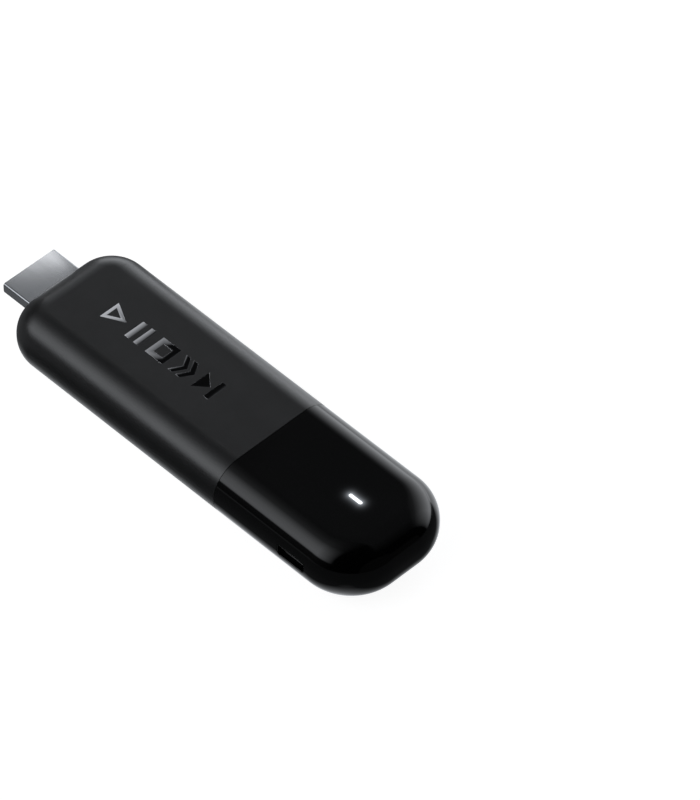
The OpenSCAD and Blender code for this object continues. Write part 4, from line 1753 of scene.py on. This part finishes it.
def add_part(whole: BMesh, part: BMesh, index: int) -> None:
    """Moves a part's faces into another mesh under a material index."""
    for face in part.faces:
        face.material_index = index
    merge(whole, part)


def turn_over(bm: BMesh, level: float) -> None:
    """Mirrors a mesh in a level plane, for parts on the board's back."""
    for vert in bm.verts:
        vert.co.z = 2 * level - vert.co.z
    bmesh.ops.reverse_faces(bm, faces=bm.faces)


@dataclass(frozen=True)
class BoardPart:
    """Kind of part soldered to the board, drawn once for each of its CAD boxes."""

    node: str
    name: str
    slot: str

    def draw(self, low: Vector, high: Vector) -> BMesh:
        """Draws one part that stands on low.z."""
        raise NotImplementedError

    def finishes(self) -> list[Finish]:
        """Finishes in the order of the drawing's material indices."""
        raise NotImplementedError

    def build(self, board_top: float) -> None:
        """Makes all parts of this kind as one piece; those below board_top hang from the back."""
        whole = bmesh.new()
        for low, high in solids_of(self.node):
            part = self.draw(low, high)
            if high.z < board_top:
                turn_over(part, (low.z + high.z) / 2)
            merge(whole, part)
        make_piece(whole, self.name, self.finishes(), self.node)


@dataclass(frozen=True)
class ChipPackage(BoardPart):
    """Moulded chip on a thin base, with a round mark at its first contact."""

    base: float = 0.26 * MM
    base_corner: float = 0.15 * MM
    base_rim: float = 0.02 * MM
    inset: float = 0.3 * MM
    corner: float = 0.25 * MM
    rim: float = 0.06 * MM
    mark_radius: float = 0.5 * MM
    mark_offset: float = 1.4 * MM
    mark_depth: float = 0.1 * MM

    def draw(self, low: Vector, high: Vector) -> BMesh:
        """Draws the base, the body and the sunk mark."""
        whole = bmesh.new()
        split = low.z + self.base
        base = slab(low, Vector((high.x, high.y, split)), self.base_corner, self.base_rim)
        step = Vector((self.inset, self.inset, 0))
        foot = Vector((low.x, low.y, split))
        body = slab(foot + step, high - step, self.corner, self.rim)
        offset = self.mark_offset
        disc, radius = round_mark((low.x + offset, low.y + offset), self.mark_radius)
        sink_field(body, disc, radius, high.z, self.mark_depth)
        add_part(whole, body, 0)
        add_part(whole, base, 1)
        return whole

    def finishes(self) -> list[Finish]:
        """Black epoxy over a green base."""
        return [FINISHES.chip_epoxy, FINISHES.chip_base]


@dataclass(frozen=True)
class EndBandPart(BoardPart):
    """Small block with a metal cap at either end."""

    core: Finish
    band_share: float = 0.22
    shrink: float = 0.04 * MM
    core_corner: float = 0.03 * MM
    core_rim: float = 0.02 * MM
    rim: float = 0.07 * MM
    rim_share: float = 0.8

    def draw(self, low: Vector, high: Vector) -> BMesh:
        """Draws the core and its two caps along the longer side."""
        whole = bmesh.new()
        axis = 0 if high.x - low.x >= high.y - low.y else 1
        band = (high[axis] - low[axis]) * self.band_share
        core_low = low + Vector((self.shrink, self.shrink, 0))
        core_high = high - Vector((self.shrink, self.shrink, self.shrink))
        core_low[axis] = low[axis] + band - self.rim
        core_high[axis] = high[axis] - band + self.rim
        add_part(whole, slab(core_low, core_high, self.core_corner, self.core_rim), 0)
        for end in (0, 1):
            cap_low = low.copy()
            cap_high = high.copy()
            if end:
                cap_low[axis] = high[axis] - band
            else:
                cap_high[axis] = low[axis] + band
            add_part(whole, slab(cap_low, cap_high, self.rim, self.rim * self.rim_share), 1)
        return whole

    def finishes(self) -> list[Finish]:
        """The core's finish, then tinned metal."""
        return [self.core, FINISHES.can_steel]


@dataclass(frozen=True)
class LiddedPart(BoardPart):
    """Base with a drawn metal lid and a shallow round dish in it."""

    base_finish: Finish
    base_share: float
    inset: float
    corner: float
    rim: float
    dish_radius: float
    dish_depth: float = 0.04 * MM
    base_rim: float = 0.03 * MM

    def draw(self, low: Vector, high: Vector) -> BMesh:
        """Draws the base and the lid."""
        whole = bmesh.new()
        split = low.z + (high.z - low.z) * self.base_share
        base = slab(low, Vector((high.x, high.y, split)), self.corner / 2, self.base_rim)
        step = Vector((self.inset, self.inset, 0))
        lid = slab(Vector((low.x, low.y, split)) + step, high - step, self.corner, self.rim)
        middle = (low + high) / 2
        disc, radius = round_mark((middle.x, middle.y), self.dish_radius)
        sink_field(lid, disc, radius, high.z, self.dish_depth)
        add_part(whole, lid, 0)
        add_part(whole, base, 1)
        return whole

    def finishes(self) -> list[Finish]:
        """Drawn metal over the base's finish."""
        return [FINISHES.can_steel, self.base_finish]


@dataclass(frozen=True)
class LeadPlugs(BoardPart):
    """Round press-on plugs of the antenna leads, each a flange, a waist and a domed cap."""

    steps: int = 48
    # Radius and height of the turned form, as shares of the plug's own.
    shares: tuple[Span, ...] = (
        (0.0, 0.0),
        (0.97, 0.0),
        (1.0, 0.05),
        (1.0, 0.26),
        (0.96, 0.31),
        (0.80, 0.33),
        (0.77, 0.37),
        (0.77, 0.48),
        (0.80, 0.52),
        (0.90, 0.54),
        (0.94, 0.59),
        (0.94, 0.78),
        (0.90, 0.88),
        (0.78, 0.95),
        (0.55, 1.0),
        (0.34, 1.0),
        (0.28, 0.93),
        (0.0, 0.91),
    )

    def draw(self, low: Vector, high: Vector) -> BMesh:
        """Draws one plug as a turned form."""
        reach = (high.x - low.x) / 2
        tall = high.z - low.z
        middle = (low + high) / 2
        bm = bmesh.new()
        profile = [(across * reach, up * tall) for across, up in self.shares]
        spun(bm, profile, Vector((middle.x, middle.y, low.z)), self.steps)
        face_outwards(bm)
        return bm

    def finishes(self) -> list[Finish]:
        """Gold plating."""
        return [FINISHES.contact_gold]


@dataclass(frozen=True)
class ShapedPart:
    """Part that keeps the CAD node's form, with its outer edges softened."""

    node: str
    name: str
    slot: str
    finish: Finish
    rim: float
    groove: float = 0.0
    groove_inset: float = 1.6 * MM
    groove_corner: float = 1.0 * MM

    def build(self) -> None:
        """Makes the piece."""
        bm = bmesh.new()
        bm.from_mesh(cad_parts[self.node].data)
        for face in bm.faces:
            face.material_index = 0
        bmesh.ops.remove_doubles(bm, verts=bm.verts, dist=WELD)
        bmesh.ops.dissolve_limit(bm, angle_limit=math.radians(1), verts=bm.verts, edges=bm.edges)
        outer = [edge for edge in sharp_edges(bm) if edge.is_convex]
        bevel_edges(bm, outer, self.rim, 2)
        if self.groove > 0:
            self.add_groove(bm)
        make_piece(bm, self.name, [self.finish], self.node)

    def add_groove(self, bm: BMesh) -> None:
        """Presses a shallow step round the middle of the upper face."""
        low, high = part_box(self.node)
        step = Vector((self.groove_inset, self.groove_inset, 0))
        outline = flat_outline(low + step, high - step)
        sink_field(bm, outline, self.groove_corner, high.z, self.groove)


@dataclass(frozen=True)
class Inside:
    """Board, shields, heat path and antennas inside the casings."""

    def board_parts(self) -> list[BoardPart]:
        """Parts that stand on the circuit board."""
        small = {"inset": 0.18 * MM, "mark_radius": 0.22 * MM, "mark_offset": 0.75 * MM}
        return [
            ChipPackage("processor", "processor_package", "chip_epoxy", inset=0.7 * MM, mark_offset=1.9 * MM),
            ChipPackage("memory_chips", "memory_packages", "chip_epoxy"),
            ChipPackage("storage_chip", "storage_package", "chip_epoxy"),
            ChipPackage("power_chip", "power_package", "chip_epoxy", **small),
            EndBandPart("inductors", "wound_inductors", "ferrite", FINISHES.ferrite, 0.16, rim=0.12 * MM),
            EndBandPart("capacitors", "chip_capacitors", "capacitor_body", FINISHES.capacitor_body),
            LeadPlugs("antenna_plugs", "lead_plugs", "contact_gold"),
            LiddedPart(
                "radio_module",
                "radio_can",
                "can_steel",
                base_finish=FINISHES.chip_base,
                base_share=0.22,
                inset=0.35 * MM,
                corner=0.5 * MM,
                rim=0.2 * MM,
                dish_radius=1.6 * MM,
            ),
            LiddedPart(
                "clock_crystal",
                "crystal_can",
                "can_steel",
                base_finish=FINISHES.chip_epoxy,
                base_share=0.5,
                inset=0.14 * MM,
                corner=0.3 * MM,
                rim=0.1 * MM,
                dish_radius=0.5 * MM,
            ),
        ]

    def shaped_parts(self) -> list[ShapedPart]:
        """Parts that follow their CAD form."""
        steel = FINISHES.can_steel
        pad = FINISHES.pad_silicone
        metal = FINISHES.spreader_metal
        strip = FINISHES.antenna_metal
        return [
            ShapedPart("shield_fence_front", "front_fence", "can_steel", steel, 0.05 * MM),
            ShapedPart("shield_lid_front", "front_lid", "can_steel", steel, 0.06 * MM, 0.05 * MM),
            ShapedPart("shield_fence_back", "back_fence", "can_steel", steel, 0.05 * MM),
            ShapedPart("shield_lid_back", "back_lid", "can_steel", steel, 0.06 * MM),
            ShapedPart("chip_pad", "processor_pad", "pad_silicone", pad, 0.14 * MM),
            ShapedPart("thermal_pad_front", "front_pad", "pad_silicone", pad, 0.2 * MM),
            ShapedPart("thermal_pad_back", "back_pad", "pad_silicone", pad, 0.18 * MM),
            ShapedPart("heat_spreader_front", "front_spreader", "spreader_metal", metal, 0.2 * MM),
            ShapedPart("heat_spreader_back", "back_spreader", "spreader_metal", metal, 0.2 * MM),
            ShapedPart("antenna_side", "side_antenna", "antenna_metal", strip, 0.05 * MM),
            ShapedPart("antenna_end", "end_antenna", "antenna_metal", strip, 0.05 * MM),
        ]

    def build(self) -> None:
        """Makes the parts and dresses the nodes that keep their CAD shape."""
        board_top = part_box("main_board")[1].z
        for part in self.board_parts():
            part.build(board_top)
        for shaped in self.shaped_parts():
            shaped.build()
        kept = {
            "inner_carrier": FINISHES.carrier_plastic,
            "carrier_screws": FINISHES.screw_steel,
            "main_board": FINISHES.board_laminate,
            "antenna_leads": FINISHES.lead_jacket,
        }
        for node, finish in kept.items():
            dress_node(node, finish)


# ---- studio ----


@dataclass(frozen=True)
class Studio:
    """Pale floor, a tent of soft light over it, and the camera."""

    azimuth: float = 45.63
    elevation: float = 47.66
    roll: float = 0.158
    distance: float = 1.423
    lens: float = 373.5
    sensor: float = 36.0
    clip: Span = (0.05, 20.0)
    centre: Point = (4 * MM, 0.0, 7 * MM)
    aim_right: float = 23.63 * MM
    aim_up: float = 5.01 * MM
    floor_half: float = 2.5
    tent_radius: float = 0.8
    tent_half: float = 1.3
    tent_from: float = -100.0
    tent_to: float = 88.0
    tent_steps: int = 72
    # Strength of the tent's inner side by angle from the zenith, positive towards the port's side.
    tent_bands: tuple[Span, ...] = (
        (-100.0, 1.0),
        (-91.0, 1.5),
        (-83.0, 2.5),
        (-65.0, 1.5),
        (-50.0, 0.6),
        (-42.0, 0.2),
        (-34.0, 0.07),
        (-12.0, 0.07),
        (2.0, 0.14),
        (18.0, 0.3),
        (32.0, 1.0),
        (42.0, 1.45),
        (58.0, 1.75),
        (66.0, 1.5),
        (70.0, 0.06),
        (88.0, 0.03),
    )
    # Overhead card over the plug's end, by stations along the tent: it fades in, then ends sharply.
    card_stations: tuple[float, float, float, float] = (-0.535, -0.507, -0.474, -0.4695)
    card_levels: Point = (0.26, 0.56, 0.10)
    # Past the card the tent is dark for a stretch, which ends between these stations.
    gap_share: float = 0.05
    gap_fade: Span = (-0.442, -0.42)
    # Angles between which the card and the dark stretch give way to the rest of the tent.
    card_angles: Span = (-22.0, -8.0)
    # The side softbox fades out towards the lamp end between these stations, the back one later.
    side_angles: Span = (-14.0, -10.0)
    side_fade: Span = (-0.22, 0.2)
    back_fade: Span = (0.25, 0.75)
    world_glow: float = 0.03
    # Light that reflections find in the floor, by where they meet it.
    floor_edge: float = 0.06
    floor_plug: float = 0.17
    floor_under: float = 1.1
    floor_far: float = 1.2
    cover_side: Span = (-19.5 * MM, -13 * MM)
    cover_plug: Span = (-50 * MM, -43 * MM)
    cover_lamp: Span = (48 * MM, 56 * MM)
    plug_fade: Span = (-53 * MM, -45 * MM)
    far_fade: Span = (90 * MM, 300 * MM)
    far_lamp_fade: Span = (40 * MM, 100 * MM)
    # What the eye sees of the floor.
    floor_grey: Colour = (0.4, 0.4, 0.4)
    floor_lift: float = 0.93
    tint: Colour = (0.93, 0.96, 1.0)
    kicker_place: Point = (-79 * MM, 23 * MM, 33 * MM)
    kicker_aim: Point = (-59 * MM, 6 * MM, 8 * MM)
    kicker_size: float = 15 * MM
    kicker_power: float = 0.0012

    def camera(self) -> None:
        """Makes the camera and points it."""
        a = math.radians(self.azimuth)
        e = math.radians(self.elevation)
        r = math.radians(self.roll)
        back = Vector((math.sin(a) * math.cos(e), -math.cos(a) * math.cos(e), math.sin(e)))
        level = Vector((math.cos(a), math.sin(a), 0))
        over = back.cross(level)
        right = level * math.cos(r) + over * math.sin(r)
        up = over * math.cos(r) - level * math.sin(r)
        aim = Vector(self.centre) + right * self.aim_right + up * self.aim_up
        data = bpy.data.cameras.new("camera")
        data.lens = self.lens
        data.sensor_width = self.sensor
        data.sensor_fit = "HORIZONTAL"
        data.clip_start, data.clip_end = self.clip
        eye = in_scene("camera", data)
        turn = Matrix((right, up, back)).transposed()
        eye.matrix_world = Matrix.Translation(aim + back * self.distance) @ turn.to_4x4()
        bpy.context.scene.camera = eye

    def stage_mesh(self, bm: BMesh, name: str, material: bpy.types.Material) -> bpy.types.Object:
        """Turns a mesh into an object of the stage."""
        mesh = into_mesh(bm, name)
        mesh.materials.append(material)
        mesh.shade_smooth()
        thing = in_scene(name, mesh)
        return thing

    def floor(self) -> None:
        """Lays a white floor, which looks greyer in reflections than to the eye."""
        material, graph = new_material("floor_white")
        output = graph.add("ShaderNodeOutputMaterial")
        seen = graph.add("ShaderNodeBsdfDiffuse", {"Color": opaque(self.floor_grey)})
        lift = graph.glow((1, 1, 1), self.floor_lift)
        white = graph.add("ShaderNodeAddShader", {0: seen.outputs[0], 1: lift})
        along, across, _ = graph.split(graph.place())
        side = graph.span(across, *self.cover_side, 0.0, 1.0)
        plug_side = graph.span(along, *self.cover_plug, 0.0, 1.0)
        lamp_side = graph.span(along, *self.cover_lamp, 1.0, 0.0)
        cover = graph.math("MULTIPLY", side, graph.math("MULTIPLY", plug_side, lamp_side))
        edge = graph.span(along, *self.plug_fade, self.floor_plug, self.floor_edge)
        under = graph.span(cover, 0.0, 1.0, edge, self.floor_under)
        beyond = graph.span(across, *self.far_fade, 0.0, self.floor_far)
        beyond = graph.math("MULTIPLY", beyond, graph.span(along, *self.far_lamp_fade, 1.0, 0.0))
        mirrored = graph.glow(self.tint, graph.math("ADD", under, beyond))
        choice = graph.add("ShaderNodeMixShader", {1: mirrored, 2: white.outputs[0]})
        graph.feed(choice.inputs[0], graph.add("ShaderNodeLightPath").outputs["Is Camera Ray"])
        graph.feed(output.inputs["Surface"], choice.outputs[0])
        bm = bmesh.new()
        place_floor = Matrix.Translation((0, 0, -THIN))
        bmesh.ops.create_grid(bm, x_segments=2, y_segments=2, size=self.floor_half, matrix=place_floor)
        self.stage_mesh(bm, "floor", material)

    def tent(self) -> None:
        """Hangs a half cylinder of graded soft light over the floor."""
        material, graph = new_material("tent_light")
        output = graph.add("ShaderNodeOutputMaterial")
        station, across, up = graph.split(graph.place())
        angle = graph.math("ARCTAN2", graph.math("MULTIPLY", across, -1.0), up)
        foot = math.radians(self.tent_from)
        head = math.radians(self.tent_to)
        share = graph.span(angle, foot, head, 0.0, 1.0)
        ramp = graph.add("ShaderNodeValToRGB")
        top = max(level for _, level in self.tent_bands)
        stops = ramp.color_ramp.elements
        while len(stops) < len(self.tent_bands):
            stops.new(0.5)
        width = self.tent_to - self.tent_from
        for stop, (degrees, level) in zip(stops, self.tent_bands):
            stop.position = (degrees - self.tent_from) / width
            stop.color = (level / top, level / top, level / top, 1)
        graph.feed(ramp.inputs[0], share)
        graded = graph.math("MULTIPLY", ramp.outputs[0], top)
        side_share = graph.span(station, *self.side_fade, 1.0, 0.0)
        back_share = graph.span(station, *self.back_fade, 1.0, 0.0)
        on_side = graph.span(angle, *map(math.radians, self.side_angles), 0.0, 1.0)
        faded = graph.add("ShaderNodeMix", {0: on_side, 2: back_share, 3: side_share})
        graded = graph.math("MULTIPLY", graded, faded.outputs[0])
        first, crest, last, end = self.card_stations
        low, high, late = self.card_levels
        rise = graph.span(station, first, crest, low, high)
        fall = graph.span(station, crest, last, 0.0, high - late)
        stop_here = graph.span(station, last, end, 0.0, late)
        card = graph.math("SUBTRACT", graph.math("SUBTRACT", rise, fall), stop_here)
        inner = graph.span(angle, *map(math.radians, self.card_angles), 1.0, 0.0)
        darkest = 1.0 - self.gap_share
        gap_start = graph.span(station, last, end, 0.0, darkest)
        gap_end = graph.span(station, *self.gap_fade, 0.0, darkest)
        gap = graph.math("MULTIPLY", graph.math("SUBTRACT", gap_start, gap_end), inner)
        graded = graph.math("MULTIPLY", graded, graph.math("SUBTRACT", 1.0, gap))
        strength = graph.math("MAXIMUM", graded, graph.math("MULTIPLY", card, inner))
        graph.feed(output.inputs["Surface"], graph.glow(self.tint, strength))
        bm = bmesh.new()
        start = Vector((0, -math.sin(foot), math.cos(foot))) * self.tent_radius
        ends = [bm.verts.new(start + AXIS_X * side * self.tent_half) for side in (-1, 1)]
        edge = bm.edges.new(ends)
        bmesh.ops.spin(
            bm,
            geom=[*ends, edge],
            cent=(0, 0, 0),
            axis=AXIS_X,
            angle=head - foot,
            steps=self.tent_steps,
        )
        tent = self.stage_mesh(bm, "light_tent", material)
        tent.visible_camera = False
        tent.visible_shadow = False

    def kicker(self) -> None:
        """Hangs a small panel close to the plug, which shades its wide face."""
        data = bpy.data.lights.new("plug_kicker", "AREA")
        data.shape = "SQUARE"
        data.size = self.kicker_size
        data.energy = self.kicker_power
        panel = in_scene("plug_kicker", data)
        place = Vector(self.kicker_place)
        turn = (place - Vector(self.kicker_aim)).to_track_quat("Z", "Y")
        panel.matrix_world = Matrix.Translation(place) @ turn.to_matrix().to_4x4()
        panel.visible_camera = False
        lit = bpy.data.collections.new("plug_lit")
        lit.objects.link(bpy.data.objects["plug_sleeve"])
        panel.light_linking.receiver_collection = lit

    def world(self) -> None:
        """Makes the surroundings white to the eye and dim in reflections."""
        surroundings = bpy.data.worlds.new("surroundings")
        surroundings.use_nodes = True
        graph = Graph(surroundings.node_tree)
        output = graph.add("ShaderNodeOutputWorld")
        sky = graph.add("ShaderNodeBackground")
        seen = graph.add("ShaderNodeLightPath").outputs["Is Camera Ray"]
        graph.feed(sky.inputs["Strength"], graph.span(seen, 0.0, 1.0, self.world_glow, 1.0))
        graph.feed(output.inputs["Surface"], sky.outputs[0])
        bpy.context.scene.world = surroundings

    def build(self) -> None:
        """Sets the stage and how the picture is developed."""
        self.camera()
        self.floor()
        self.tent()
        self.kicker()
        self.world()
        view = bpy.context.scene.view_settings
        view.view_transform = "Standard"
        view.look = "None"


def main() -> None:
    """Builds the stick and its studio."""
    logging.basicConfig(level=logging.INFO, format="%(name)s: %(message)s")
    plug = VideoPlug.from_frame()
    port = PowerPort.from_frame()
    lamp = StatusLamp.from_frame()
    form = HousingForm.from_frame()
    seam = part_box("casing_sleeve")[1].x
    casings = Casings(form, plug, port, lamp, FrontMark.from_frame(), seam)
    casings.build()
    plug.build()
    port.build()
    lamp.build()
    Inside().build()
    Studio().build()


if __name__ == "__main__":
    main()
